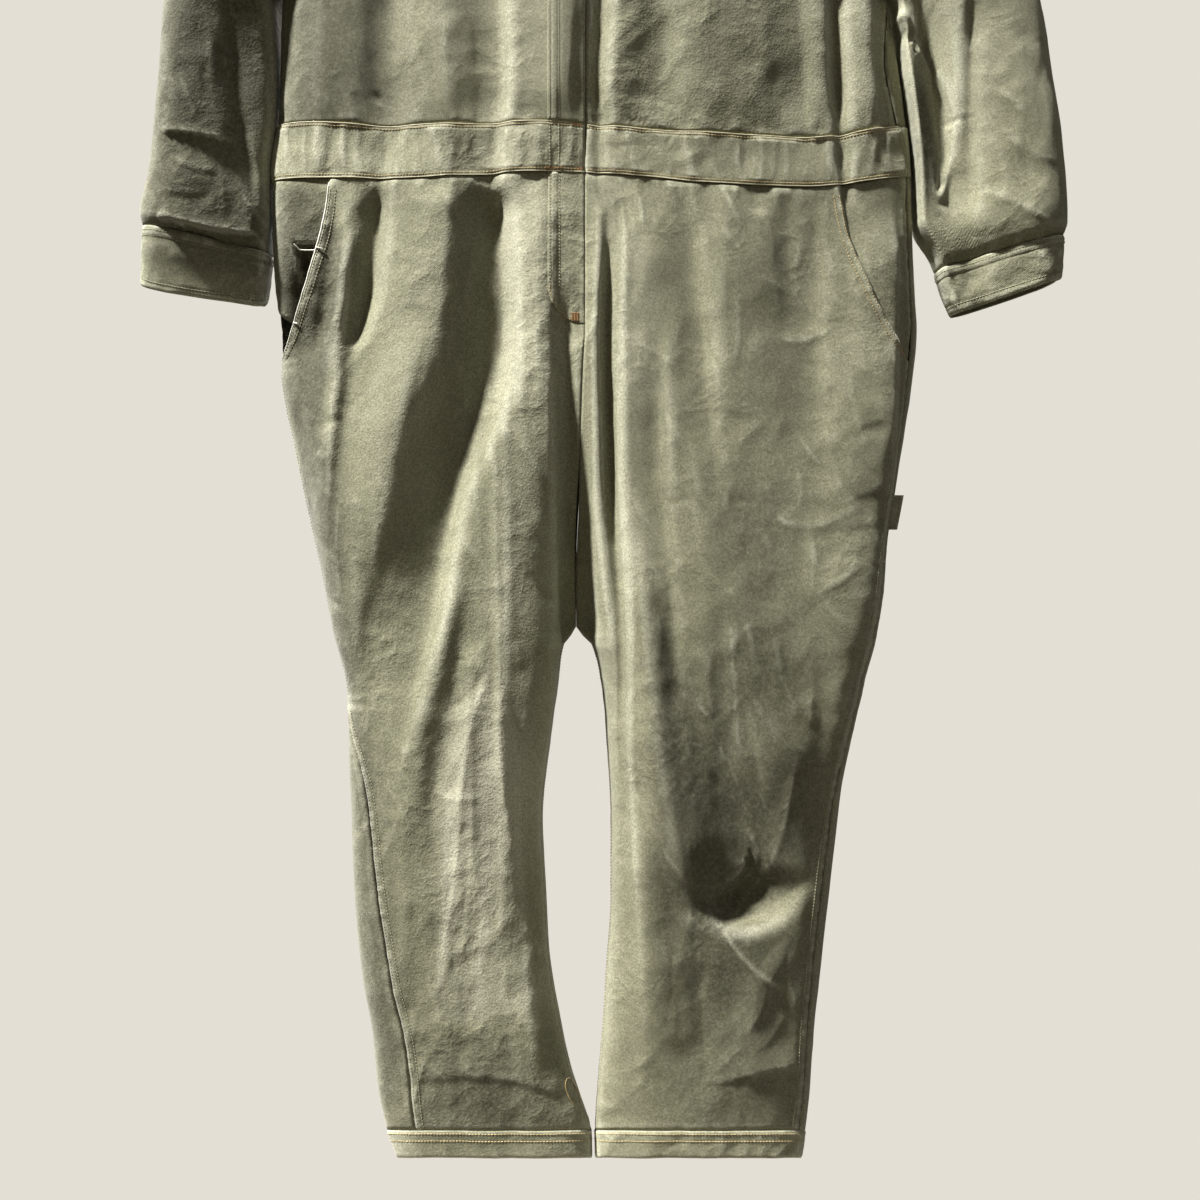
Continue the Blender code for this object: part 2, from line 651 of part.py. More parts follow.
def fly_placket(grid, normals, drops, finish, parts):
    """The fly's placket, made from the left front's own points and moved out, with a J at its foot."""
    rows, row_normals = [], []
    for r, drop in enumerate(drops):
        if drop > FLY_FOOT + 0.5:
            break
        from_foot = np.clip((drop - (FLY_FOOT - FLY_CURVE)) / FLY_CURVE, 0.0, 1.0)
        width = max(PLACKET * (1 - from_foot ** 2) ** 0.5, 6.0)
        line = grid[r, :3]
        places = np.linspace(0.0, width, 3)
        arc = arc_of(line)
        rows.append(read_at(arc, line, places))
        row_normals.append(np.tile((0.0, FRONT, 0.0), (3, 1)))
    points = np.array(rows)
    wall("fly_placket", points, np.array(row_normals), CLOTH, finish, parts, proud=CLOTH + LIE_GAP)


def hem_band(side, finish, parts):
    grid, normals = [], []
    for drop in (HEM_BAND_TOP, (HEM_BAND_TOP + HEM) / 2, HEM):
        section = half_section(side, drop)
        arc, seam = section[2:4]
        front = seam * (1 - (1 - np.linspace(0.0, 1.0, FRONT_COLUMNS)) ** TO_SIDE)
        places = np.concatenate([front[:-1], np.linspace(seam, arc[-1], BACK_COLUMNS)[:-1]])
        row, outwards = read_row(section, places)
        grid.append(row)
        normals.append(outwards)
    grid = trim_rows(np.array(grid), HALF_GAP + 0.2, 0.0)
    wall(f"hem_band_{side_name(side)}", grid, np.array(normals), BAND, finish, parts,
         proud=BAND_PROUD / 2, closed=True)


def waistband_rows(side):
    rows = []
    for drop in (0.0, WAISTBAND / 2, WAISTBAND):
        rows.append(half_section(side, drop))
    return rows


def waistband_front(side, finish, parts):
    grid, normals, lift = [], [], []
    for section in waistband_rows(side):
        places = front_places(0.0, PLACKET, section[3])
        row, outwards = read_row(section, places)
        meet_at_seam(section, row, outwards, -1, -1)
        grid.append(row)
        normals.append(outwards)
        lapping = END_PROUD if side == LEFT else 0.0
        lift.append(BAND_PROUD + (lapping - BAND_PROUD * (side == LEFT)) * ease(1 - places / (2 * PLACKET)))
    normals = np.array(normals)
    grid = trim_rows(np.array(grid), HALF_GAP, HALF_GAP) + normals * np.array(lift)[..., None]
    wall(f"waistband_front_{side_name(side)}", grid, normals, BAND, finish, parts)


def waistband_back(finish, parts):
    grid, normals = [], []
    for left_row, right_row in zip(waistband_rows(LEFT), waistband_rows(RIGHT)):
        line, line_normals = [], []
        for section in (left_row, right_row):
            row, outwards = read_row(section, np.linspace(section[3], section[2][-1], BACK_COLUMNS))
            meet_at_seam(section, row, outwards, 0, 1)
            line.append(row)
            line_normals.append(outwards)
        middle = (line[0][-1:] + line[1][-1:]) / 2
        grid.append(np.concatenate([line[0][:-1], middle, line[1][-2::-1]]))
        normals.append(np.concatenate([line_normals[0][:-1], [(0, BACK, 0)], line_normals[1][-2::-1]]))
    grid = trim_rows(np.array(grid), HALF_GAP, HALF_GAP)
    wall("waistband_back", grid, np.array(normals), BAND, finish, parts, proud=BAND_PROUD)


# ---------------------------------------------------------------- bodice
def neck_point(side, face, across):
    """The top edge of a bodice panel at a share of the way from the closure to the shoulder's tip."""
    x = CLOSURE_X + (side * SHOULDER_TIP[0] - CLOSURE_X) * across
    reach, fall = FRONT_NECK if face == FRONT else BACK_NECK
    half = side * NECK_HALF - CLOSURE_X
    share = np.clip((x - CLOSURE_X) / half, 0.0, 1.0)
    open_share = np.sqrt(1 - share ** 2)
    slope = (SHOULDER_TIP[1] - SHOULDER_TOP_Z) / (SHOULDER_TIP[0] - NECK_HALF)
    z = SHOULDER_TOP_Z + slope * np.maximum(np.abs(x) - NECK_HALF, 0.0) - fall * open_share ** NECK_DROP
    return z, reach * open_share ** NECK_SPREAD


def bodice_levels():
    """Row parameters: below the underarm (share of the side seam), then angles round the armhole."""
    low = [("side", t) for t in np.linspace(0, 1, WAIST_TO_UNDERARM + 1)[:-1]]
    high = [("armhole", a) for a in np.linspace(pi, 0, UNDERARM_TO_SHOULDER + 1)]
    return low + high


def armhole(side):
    """Centre, half height and axis of the armhole, a flat oval from the underarm to the shoulder's tip."""
    ring = SLEEVES[side][0]
    tip = np.array([ring.outer_x, 0.0, ring.outer_z])
    pit = np.array([ring.inner_x, 0.0, ring.inner_z])
    half = (tip - pit) / 2
    axis = np.cross(half, (0.0, 1.0, 0.0))
    axis *= side * np.sign(axis[0]) / np.linalg.norm(axis)
    return (tip + pit) / 2, half, axis


def bodice_section(side, face, level):
    """One panel's dense section at a level, from the middle to its outer edge, and its seam's place."""
    kind, value = level
    centre, half, axis = armhole(side)
    pit_z = (centre - half)[2]
    edge_low = float(waist_z("top", column(BODY, side_name(side), 0.0)))
    edge_y = 0.0
    if kind == "side":
        edge_z = edge_low + value * (pit_z - edge_low)
        edge_x = float(column(BODY, side_name(side), WAIST_Z - edge_z))
        seam_in = float(column(SIDE_SEAM, side_name(side), WAIST_Z - edge_z)) * ease((1 - value) / 0.8)
    else:
        edge = centre + half * cos(value) - axis * HALF_GAP
        edge_x, edge_z = edge[0], edge[2]
        edge_y = ARMHOLE_DEPTH * sin(value) ** SLEEVE_OVAL
        seam_in = 0.0
    lift = (edge_z - edge_low) / (SHOULDER_TIP[1] - edge_low)
    top_level = kind == "armhole" and value == 0
    lift = 1.0 if top_level else lift

    phi = np.linspace(0.0, pi / 2, DENSE)
    across = np.sin(phi) ** ROUND
    x = CLOSURE_X + (edge_x - CLOSURE_X) * across
    waist_x = CLOSURE_X + (float(column(BODY, side_name(side), 0.0)) - CLOSURE_X) * across
    low_z = waist_z("top", waist_x)
    top_z, neck_y = neck_point(side, face, across)
    z = low_z + lift * (top_z - low_z)
    below = np.clip((top_z - z) / SHOULDER_ROLL, 0.0, 1.0)
    roll = np.sqrt(1 - (1 - below) ** 2)
    depth = column(BODY, "front" if face == FRONT else "back", WAIST_Z - z)
    middle_y = neck_y + (depth - neck_y) * roll
    y = edge_y + (middle_y - edge_y) * np.cos(phi) ** ROUND
    points = np.stack([x, face * y, z], axis=1)
    normal = -side * face * outward(points)
    folds = FRONT_FOLDS if face == FRONT else BACK_FOLDS
    flatness = np.cos(phi) ** ROUND
    height = fold_height(folds, x, z) * ease(FRONT_SHARE * flatness) * ease((1 - lift) / 0.3)
    points = points + normal * height[:, None]
    return points, seam_in


def bodice_panel(side, face):
    """Grid of one quarter of the bodice, rows from the waist up, columns from the middle outwards."""
    levels = bodice_levels()
    shoulder, _ = bodice_section(side, face, levels[-1])
    shoulder_arc = arc_of(shoulder)
    neck_arc = float(np.interp(NECK_HALF, side * shoulder[:, 0], shoulder_arc))
    grid = []
    for level in levels:
        points, arc, end = move_seam(side, face, level)
        grid.append(read_at(arc, points, bodice_places(face, end, level, shoulder_arc[-1], neck_arc)))
    grid[-1][NECK_COLUMN] = (side * NECK_HALF, 0.0, SHOULDER_TOP_Z)
    return np.array(grid)


def move_seam(side, face, level):
    """A panel's section up to the side seam, its arc and its length. Where the seam shows in front of
    the outline, the front stops short of it and the back wraps round to meet it."""
    points, seam_in = bodice_section(side, face, level)
    arc = arc_of(points)
    if seam_in < 0.5:
        return points, arc, arc[-1]
    edge_x = points[-1, 0]
    if face == FRONT:
        stop = int(np.argmin(np.abs(points[DENSE // 2:, 0] - (edge_x - side * seam_in)))) + DENSE // 2
        return points[:stop + 1], arc[:stop + 1], arc[stop]
    front, _ = bodice_section(side, FRONT, level)
    stop = int(np.argmin(np.abs(front[DENSE // 2:, 0] - (edge_x - side * seam_in)))) + DENSE // 2
    joined = np.concatenate([points, front[stop:-1][::-1]])
    arc = arc_of(joined)
    return joined, arc, arc[-1]


def bodice_places(face, end, level, top_end, neck_arc):
    """Column places: at the waist those of the waistband, and a column at the neck's corner above."""
    kind, value = level
    if face == FRONT:
        low = front_places(0.0, PLACKET, end)
        high = front_places(0.0, PLACKET, top_end)
    else:
        low = np.linspace(0.0, end, BACK_COLUMNS)
        high = low.copy()
    first = 2 if face == FRONT else 0
    high[first:NECK_COLUMN + 1] = np.linspace(high[first], neck_arc, NECK_COLUMN + 1 - first)
    high[NECK_COLUMN:] = np.linspace(neck_arc, top_end, len(high) - NECK_COLUMN)
    share = 0.0 if kind == "side" else ((1 + cos(value)) / 2) ** 1.5
    places = low * (1 - share) + high * (end / top_end) * share
    places[:first + 1] = low[:first + 1]
    return places


def build_bodice(finish, parts):
    """Two fronts and a back, cut from the same rows so that their seams meet."""
    fronts = {}
    backs = {}
    for side in (LEFT, RIGHT):
        for face, store in ((FRONT, fronts), (BACK, backs)):
            grid = bodice_panel(side, face)
            rough = np.tile((0.0, face, 0.0), (*grid.shape[:2], 1))
            rough[:, -3:, 0] = side * 0.8
            rough[-4:, :, 2] = 0.8
            normals = grid_normals(grid, rough)
            normals[0] = within_plane(normals[0], (0, 0, 1))
            store[side] = [grid, normals]
    for side in (LEFT, RIGHT):
        front, back = fronts[side], backs[side]
        _, _, axis = armhole(side)
        pit = WAIST_TO_UNDERARM
        # side seam: one shared direction, square to the run of the section there
        for r in range(pit + 1):
            run = (back[0][r, -2] - front[0][r, -2]) * (1, 1, 0)
            run /= np.linalg.norm(run)
            shared = within_plane(front[1][r, -1] + back[1][r, -1], run)
            for panel, sign in ((front, -1), (back, 1)):
                panel[1][r, -1] = shared
                panel[0][r, -1] = panel[0][r, -1] + sign * HALF_GAP * run
        for panel, face in ((front, FRONT), (back, BACK)):
            panel[1][pit:, -1] = within_plane(panel[1][pit:, -1], axis)
            panel[1][pit, -1] = within_plane(shared * (1, 0, 1), axis)
            top = panel[1][-1]
            top[:, 1] = 0.0
            top /= np.linalg.norm(top, axis=1)[:, None]
            top[:NECK_COLUMN] = grid_normals(panel[0], panel[1])[-1, :NECK_COLUMN]
            panel[0][-1, NECK_COLUMN:, 1] = face * HALF_GAP
        front[0][:, 0, 0] = CLOSURE_X + side * HALF_GAP
        front[1][:, 0] = within_plane(front[1][:, 0], (1, 0, 0))
        wall(f"bodice_front_{side_name(side)}", front[0], front[1], CLOTH, finish, parts)
    left, right = backs[LEFT], backs[RIGHT]
    middle = (left[0][:, :1] + right[0][:, :1]) / 2
    middle[..., 0] = CLOSURE_X
    middle_normal = within_plane((left[1][:, :1] + right[1][:, :1]), (1, 0, 0))
    grid = np.concatenate([left[0][:, :0:-1], middle, right[0][:, 1:]], axis=1)
    normals = np.concatenate([left[1][:, :0:-1], middle_normal, right[1][:, 1:]], axis=1)
    wall("bodice_back", grid, normals, CLOTH, finish, parts)
    return fronts, backs


def bodice_placket(front, finish, parts):
    """The covered placket: a strip made from the left front's own points and moved out."""
    grid, normals = front[0][:, :3].copy(), front[1][:, :3]
    wall("bodice_placket", grid, normals, CLOTH, finish, parts, proud=CLOTH + LIE_GAP)


# ---------------------------------------------------------------- sleeves
def sleeve(side, finish, parts):
    rings = SLEEVES[side]
    round_steps = 2 * UNDERARM_TO_SHOULDER
    angles = np.linspace(0, 2 * pi, round_steps, endpoint=False)
    station = np.arange(len(rings))
    outer_edge = np.array([(r.outer_x, 0.0, r.outer_z) for r in rings], float)
    inner_edge = np.array([(r.inner_x, 0.0, r.inner_z) for r in rings], float)
    depth = np.array([r.depth for r in rings], float)
    centre = (outer_edge + inner_edge) / 2
    half = (outer_edge - inner_edge) / 2
    axes = np.cross(half, (0.0, 1.0, 0.0))
    axes *= np.sign(axes @ (side, 0, -0.3))[:, None]
    axes /= np.linalg.norm(axes, axis=1)[:, None]
    along = arc_of(centre[:, [0, 2, 1]])
    along = along / along[CUFF_FIRST]
    grid = np.zeros((len(rings), round_steps, 3))
    for j in station:
        swell = np.zeros(round_steps)
        for fold in SLEEVE_FOLDS[side]:
            turn = (np.degrees(angles) - fold.round + 180) % 360 - 180
            swell += fold.height * np.exp(-((along[j] - fold.along) / fold.reach_along) ** 2
                                          - (turn / fold.reach_round) ** 2)
        if j == 0 or j >= CUFF_FIRST:
            swell[:] = 0.0
        y = -(depth[j] * np.abs(np.sin(angles)) ** SLEEVE_OVAL + swell) * np.sign(np.round(np.sin(angles), 6))
        grid[j] = centre[j] + np.outer(np.cos(angles), half[j])
        grid[j, :, 1] = y
    rough = grid - centre[:, None, :]
    normals = grid_normals(grid, rough, closed=True)
    for j in (0, CUFF_FIRST, len(rings) - 1):
        normals[j] = within_plane(normals[j], axes[j])
    body = grid[:CUFF_FIRST + 1].copy()
    body[0] += axes[0] * HALF_GAP
    body[-1] -= axes[CUFF_FIRST] * HALF_GAP
    wall(f"sleeve_{side_name(side)}", body, normals[:CUFF_FIRST + 1], CLOTH, finish, parts, closed=True)
    cuff = grid[CUFF_FIRST:].copy()
    cuff[0] += axes[CUFF_FIRST] * HALF_GAP
    wall(f"cuff_{side_name(side)}", cuff, normals[CUFF_FIRST:], BAND, finish, parts,
         proud=BAND_PROUD, closed=True)


# ---------------------------------------------------------------- collar
def collar_line(fronts, backs):
    """The neckline's own points and the places between them, from the left closure edge round the back
    to the right one."""
    last = NECK_COLUMN
    places = [fronts[LEFT][0][-1, :last + 1], backs[LEFT][0][-1, last - 1:0:-1],
              backs[RIGHT][0][-1, :last], fronts[RIGHT][0][-1, last::-1]]
    corners = np.concatenate(places)
    line = np.repeat(corners, 2, axis=0)[:-1]
    line[1::2] = (corners[:-1] + corners[1:]) / 2
    return line


def lie_on(panels, place, towards, lift):
    """The place moved along a direction until it lies a lift above the panels."""
    spots, faces = [], []
    for grid in panels:
        rows, columns = grid.shape[:2]
        base = len(spots)
        spots.extend(Vector(point) for point in grid.reshape(-1, 3))
        for r in range(rows - 1):
            for c in range(columns - 1):
                corner = base + r * columns + c
                faces.append((corner, corner + 1, corner + columns + 1, corner + columns))
    tree = BVHTree.FromPolygons(spots, faces)
    lain = []
    for point, way, height in zip(place, towards, lift[:, 0]):
        way = Vector(way).normalized()
        hit = tree.ray_cast(Vector(point) - way * 150.0, way)[0]
        lain.append(np.array((hit if hit else Vector(point)) - way * height))
    return np.array(lain)


def collar(fronts, backs, finish, parts):
    """A stand round the neck, and a fall that turns over it and lies above the shoulders."""
    line = collar_line(fronts, backs)
    away = (line - (CLOSURE_X, 0.0, 0.0)) * (1, 1, 0)
    away /= np.linalg.norm(away, axis=1)[:, None]
    up = np.array([0.0, 0.0, 1.0])
    foot = line + up * STAND_SEAT
    head = line + up * STAND_HEIGHT - away * STAND_LEAN
    stand = np.stack([foot, (foot + head) / 2, head])
    wall("collar_stand", stand, np.tile(away, (3, 1, 1)), CLOTH, finish, parts)

    frontness = ease(-line[:, 1] / FRONT_NECK[0])[:, None]
    backness = ease(line[:, 1] / BACK_NECK[0])[:, None]
    sideness = 1 - frontness - backness
    crest = head + away * (FALL_TURN + CLOTH) + up * 3.0
    spread = np.sign(line[:, :1] - CLOSURE_X) * (1, 0, 0)
    tip = ease((frontness - 0.6) / 0.4)
    fall = FALL_BACK * backness + FALL_POINT[1] * (1 - TIP_SHARE) * frontness
    edge = (line + away * (FALL_SIDE * sideness) - up * fall
            + tip * (spread * FALL_POINT[0] - up * FALL_POINT[1] * TIP_SHARE))
    panels = [fronts[side][0] for side in (LEFT, RIGHT)] + [backs[side][0] for side in (LEFT, RIGHT)]
    inwards = np.array([0.0, 1.0, 0.0]) * (frontness - backness) - up * sideness
    lift = FALL_LIFT + FALL_ARCH * 4 * sideness * (1 - sideness)
    edge = lie_on(panels, edge, inwards, lift)
    middle = lie_on(panels, line * 0.45 + edge * 0.55, inwards, lift + FALL_ARCH)
    shoulder = (crest + middle) / 2 + away * 2.0 + up * 2.0
    layer = np.stack([crest, shoulder, middle, edge])
    rough = np.tile(away * 0.8 + up * 0.6, (4, 1, 1))
    wall("collar_fall", layer, grid_normals(layer, rough), CLOTH, finish, parts)


# ---------------------------------------------------------------- hammer loop
def hammer_loop(finish, parts):
    """A strip folded in a hairpin out of the right side seam, open at its head and foot."""
    turn = radians(LOOP_TURN)
    out_way = np.array([cos(turn), sin(turn), 0.0])
    front_way = np.array([sin(turn), -cos(turn), 0.0])
    reach = LOOP_REACH - LOOP_HALF
    bends = [(0.0, front_way), (reach / 2, front_way)]
    for angle in np.radians(np.arange(0, 181, 45)):
        bends.append((reach, front_way * cos(angle) + out_way * sin(angle)))
    bends.append((reach * 0.55, -front_way))
    grid = []
    for drop in np.linspace(LOOP_TOP, LOOP_FOOT, 3):
        section = half_section(RIGHT, drop)
        seam = read_at(section[2], section[0], [section[3]])[0]
        root = seam - front_way * (LOOP_HALF - LOOP_WALL - LIE_GAP)
        grid.append([root + out_way * away + way * LOOP_HALF for away, way in bends])
    normals = np.tile([way for _, way in bends], (3, 1, 1))
    wall("hammer_loop", np.array(grid), normals, LOOP_WALL, finish, parts)


# ---------------------------------------------------------------- hanger
def tube(name, points, radius, parts):
    curve = bpy.data.curves.new(name, "CURVE")
    curve.dimensions = "3D"
    curve.bevel_depth = radius * MM
    curve.bevel_resolution = 2
    curve.use_fill_caps = True
    spline = curve.splines.new("POLY")
    spline.points.add(len(points) - 1)
    for spot, place in zip(spline.points, points):
        spot.co = (*(np.asarray(place, float) * MM), 1.0)
    bent = bpy.data.objects.new(name, curve)
    parts.objects.link(bent)
    bpy.context.view_layer.update()
    mesh = bpy.data.meshes.new_from_object(bent.evaluated_get(bpy.context.evaluated_depsgraph_get()))
    bpy.data.objects.remove(bent)
    welded = bmesh.new()
    welded.from_mesh(mesh)
    bmesh.ops.remove_doubles(welded, verts=welded.verts, dist=1e-6)
    welded.to_mesh(mesh)
    welded.free()
    return mesh


def hanger(finish, parts, cutters):
    """Two sloping arms and a fixed open hook, moulded in one piece."""
    slope = (SHOULDER_TOP_Z - SHOULDER_TIP[1]) / (SHOULDER_TIP[0] - NECK_HALF)
    peak_z = SHOULDER_TOP_Z - ARM_SEAT + slope * NECK_HALF
    arm = []
    for x in np.linspace(-ARM_HALF, ARM_HALF, ARM_STEPS):
        rounding = slope * max(ARM_BEND - abs(x), 0.0) ** 2 / (2 * ARM_BEND)
        arm.append((x, 0.0, peak_z - slope * abs(x) - rounding))
    hook = [(0, 0, arm[ARM_STEPS // 2][2] - 2.0), (0, 0, -HOOK_RADIUS * 2 - 12)]
    crook = np.radians(np.arange(-50, 215, 15))
    centre_z = WIRE_RADIUS - HOOK_RADIUS
    for turn in crook:
        hook.append((HOOK_RADIUS * sin(turn) * -1, 0, centre_z - HOOK_RADIUS * cos(turn)))
    arms = add_object("hanger", tube("hanger", arm, ARM_RADIUS, parts), finish, parts)
    wire = add_object("hook_blank", tube("hook", hook, WIRE_RADIUS, parts), finish, cutters)
    wire.hide_render = True
    wire.display_type = "WIRE"
    join = arms.modifiers.new("hook", "BOOLEAN")
    join.operation = "UNION"
    join.solver = "EXACT"
    join.object = wire


# ---------------------------------------------------------------- build
def main():
    for thing in list(bpy.data.objects):
        bpy.data.objects.remove(thing)
    parts = bpy.data.collections.new("boiler_suit")
    cutters = bpy.data.collections.new("cutters")
    for group in (parts, cutters):
        bpy.context.scene.collection.children.link(group)
    twill = material("cotton_twill", (0.19, 0.185, 0.125), 0.9)
    band = material("cotton_twill_bands", (0.22, 0.21, 0.15), 0.88)
    plastic = material("hanger_plastic", (0.03, 0.03, 0.03), 0.4)

    fronts, backs = build_bodice(twill, parts)
    bodice_placket(fronts[LEFT], twill, parts)
    collar(fronts, backs, twill, parts)
    for side in (LEFT, RIGHT):
        sleeve(side, twill, parts)
        waistband_front(side, band, parts)
        rows = leg_rows(side)
        grid, normals = leg_front(side, rows, twill, parts)
        if side == LEFT:
            fly_placket(grid, normals, leg_levels(), twill, parts)
        leg_back(side, rows, twill, parts)
        pocket_facing(side, rows, twill, parts)
        hem_band(side, band, parts)
    waistband_back(band, parts)
    hammer_loop(twill, parts)
    hanger(plastic, parts, cutters)


main()
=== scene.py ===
"""Looks of the boiler suit on its hanger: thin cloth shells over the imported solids, sewn and creased.

The shells are read from the same levels, seams and folds as the garment's solids, at a finer step,
and get the smaller creases, puckers and stitches. Sizes and places are in millimetres and become
metres when a mesh is made. The origin is where the rail carries the hook; +Z is up, the front faces
-Y, and "left" and "right" are as seen from the front. "Drop" is how far a level lies below the
waistband's top seam.
"""
from collections import namedtuple
from math import atan, cos, pi, radians, sin

import bpy
import numpy as np
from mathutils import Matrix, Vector
from mathutils.bvhtree import BVHTree

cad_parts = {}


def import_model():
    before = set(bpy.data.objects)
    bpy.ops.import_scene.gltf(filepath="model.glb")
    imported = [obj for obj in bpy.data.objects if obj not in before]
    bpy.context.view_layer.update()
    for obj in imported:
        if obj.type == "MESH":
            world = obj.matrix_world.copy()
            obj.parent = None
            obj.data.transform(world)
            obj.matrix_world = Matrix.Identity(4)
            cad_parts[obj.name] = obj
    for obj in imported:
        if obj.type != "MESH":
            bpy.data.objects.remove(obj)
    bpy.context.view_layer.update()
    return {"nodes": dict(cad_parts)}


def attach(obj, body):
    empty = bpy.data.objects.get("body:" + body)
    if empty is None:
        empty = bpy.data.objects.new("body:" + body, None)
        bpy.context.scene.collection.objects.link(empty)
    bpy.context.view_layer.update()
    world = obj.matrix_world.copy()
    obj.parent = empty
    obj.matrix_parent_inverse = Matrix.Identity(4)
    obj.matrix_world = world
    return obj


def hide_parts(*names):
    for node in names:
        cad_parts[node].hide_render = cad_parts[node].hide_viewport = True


MM = 0.001
FRONT, BACK = -1, 1
LEFT, RIGHT = -1, 1

# ---------------------------------------------------------------- the garment's sizes
CLOTH = 1.8
SHELL = 1.1              # thickness of a shell of cloth
BAND_SHELL = 1.8         # and of a band, folded double
LOOP_SHELL = 1.4
HALF_GAP = 0.15
LIE_GAP = 0.4
WAIST_Z = -550.0
CLOSURE_X = -5.0
WAISTBAND = 49.0
CROTCH = 500.0
HEM_BAND_TOP = 1025.0
HEM = 1054.0
FLY_FOOT = 196.0
FLY_CURVE = 36.0
PLACKET = 37.0
# Rows of stitches, by how far they lie from the edge or seam they follow.
PLACKET_ROWS = (26.0, 35.0)
POCKET_ROWS = (3.0, 9.0)
SIDE_SEAM_ROWS = (2.6, 8.4)
INSEAM_ROWS = (6.0, 13.0)
HEM_ROWS = (3.5, 11.0)
BAND_ROW = 3.0
# Bars of stitches on the left waistband: their levels, where they begin and end, and their points.
BAND_BARS = [((44.5, 45.6, 46.6), 2.0, 9.0, 5), ((45.4, 47.0), 22.0, 40.0, 9), ((1.4, 2.6), 3.0, 12.0, 5)]
# Short threads at the left pocket: their level, and how far they reach from the pocket's edge.
POCKET_THREADS = [("left_facing_thread", 111.0, 33.0), ("left_pocket_thread", 120.0, -7.0),
                  ("left_pocket_tick", 192.0, -5.0)]
# Radii of the round trims.
PIPING, BINDING, SHORT_THREAD, LOOSE_THREAD = 0.55, 0.85, 0.75, 0.45
BAND_PROUD = 0.8         # how far a band stands out of the panels that it joins
LAP_PROUD = 1.6          # and where its front laps over
NECK_HALF = 78.0
SHOULDER_TOP_Z = -105.0
SHOULDER_TIP = (252.0, -157.0)
FRONT_NECK = (38.0, 88.0)
BACK_NECK = (30.0, 20.0)
ARMHOLE_DEPTH = 46.0
SHOULDER_ROLL = 165.0
NECK_SPREAD = 0.75
NECK_DROP = 1.5
ROUND = 2.0 / 2.6
ROUND_INSIDE = 2.0 / 3.6
SLOT_TURN = 12.0
HEM_RISE = 12.0
HEM_RISE_FROM = 900.0
FRONT_SHARE = 1.6
WAIST_SETTLE = 130.0
POCKET_FOOT = 232.0
FACING_LAP = 16.0
FACING_SINK = {LEFT: 10.0, RIGHT: 1.7}
FACING_TOP = 1.4
POCKET_GAPE = {LEFT: 11.0, RIGHT: 1.0}
GAPE_REACH = 42.0
GAPE_TOP, GAPE_RISE, GAPE_FALL = 60.0, 90.0, 60.0
CUFF_FIRST = 10
CUFF_TILT = {LEFT: 0.5, RIGHT: 0.1}
CUFF_FLAT = {LEFT: 0.2, RIGHT: 0.0}
SLEEVE_OVAL = 0.8
STAND_HEIGHT = 30.0
STAND_LEAN = 5.0
FALL_TURN = 3.2
FALL_SIDE = 38.0
FALL_BACK = 26.0
FALL_POINT = (26.0, 66.0)
TIP_SHARE = 0.45
FALL_LIFT = 4.8
FALL_ARCH = 6.0
LOOP_TOP, LOOP_FOOT = 366.0, 401.0
LOOP_REACH = 16.0
LOOP_HALF = 2.6
LOOP_WALL = 1.6
LOOP_TURN = 10.0


def rows_of(kind, rows):
    """A table's rows with their columns named."""
    return [kind(*row) for row in rows]


# Levels of the body: the outline's left and right edges, the front's and the back's depth.
Level = namedtuple("Level", "drop left right front back")
BODY = rows_of(Level, [
    (-165, -318, 303, 46, 38),
    (-100, -321, 316, 47, 38),
    (-17, -323, 328, 46, 37),
    (42, -330, 333, 46, 38),
    (94, -330, 334, 48, 44),
    (160, -326, 337, 50, 50),
    (192, -322, 339, 50, 52),
    (238, -320, 335, 51, 53),
    (317, -306, 323, 52, 54),
    (375, -294, 313, 53, 54),
    (436, -280, 301, 54, 53),
    (508, -265, 289, 54, 51),
    (569, -251, 276, 53, 49),
    (635, -250, 263, 51, 47),
    (702, -247, 256, 48, 45),
    (774, -245, 248, 45, 43),
    (868, -236, 238, 40, 40),
    (921, -227, 232, 36, 38),
    (981, -221, 228, 32, 35),
    (1019, -213, 224, 29, 33),
    (1054, -200, 219, 27, 32),
])

# Levels of the inner edges: where the legs face each other, how far round each leg its front and
# back have turned towards the inseam, and how far each front's roll stands off the seam.
Inside = namedtuple("Inside", "drop left right front_turn back_turn left_slot right_slot")
INSIDE = rows_of(Inside, [
    (-165, -5, -5, 90, 90, 0, 0),
    (196, -5, -5, 90, 90, 0, 0),
    (240, -7, -7, 106, 92, 0, 0),
    (317, -10, -10, 140, 104, 9, 2),
    (375, -13, -13, 163, 128, 17, 7),
    (436, -15, -15, 173, 155, 17, 13),
    (500, -15, -15, 180, 180, 15, 17),
    (522, -29, 3, 180, 180, 0, 0),
    (560, -34, 12, 180, 180, 0, 0),
    (610, -41, 17, 180, 180, 0, 0),
    (700, -50, 22, 180, 180, 0, 0),
    (788, -46, 22, 180, 180, 0, 0),
    (841, -43, 18, 180, 180, 0, 0),
    (907, -32, 14, 180, 180, 0, 0),
    (960, -21, 9, 180, 180, 0, 0),
    (1000, -7, 6, 180, 180, 0, 0),
    (1024, 0.5, 5, 180, 180, 0, 0),
    (1054, 1.5, 5.5, 180, 180, 0, 0),
])

# Side seams: how far in front of the outline each one shows, across the front.
Seam = namedtuple("Seam", "drop left right")
SIDE_SEAM = rows_of(Seam, [
    (-165, 0, 0),
    (-110, 0, 24),
    (-17, 0, 14),
    (60, 0, 8),
    (230, 0, 9),
    (560, 0, 10),
    (600, 3, 10),
    (660, 19, 10),
    (740, 27, 10),
    (830, 34, 10),
    (960, 39, 9),
    (1054, 29, 8),
])

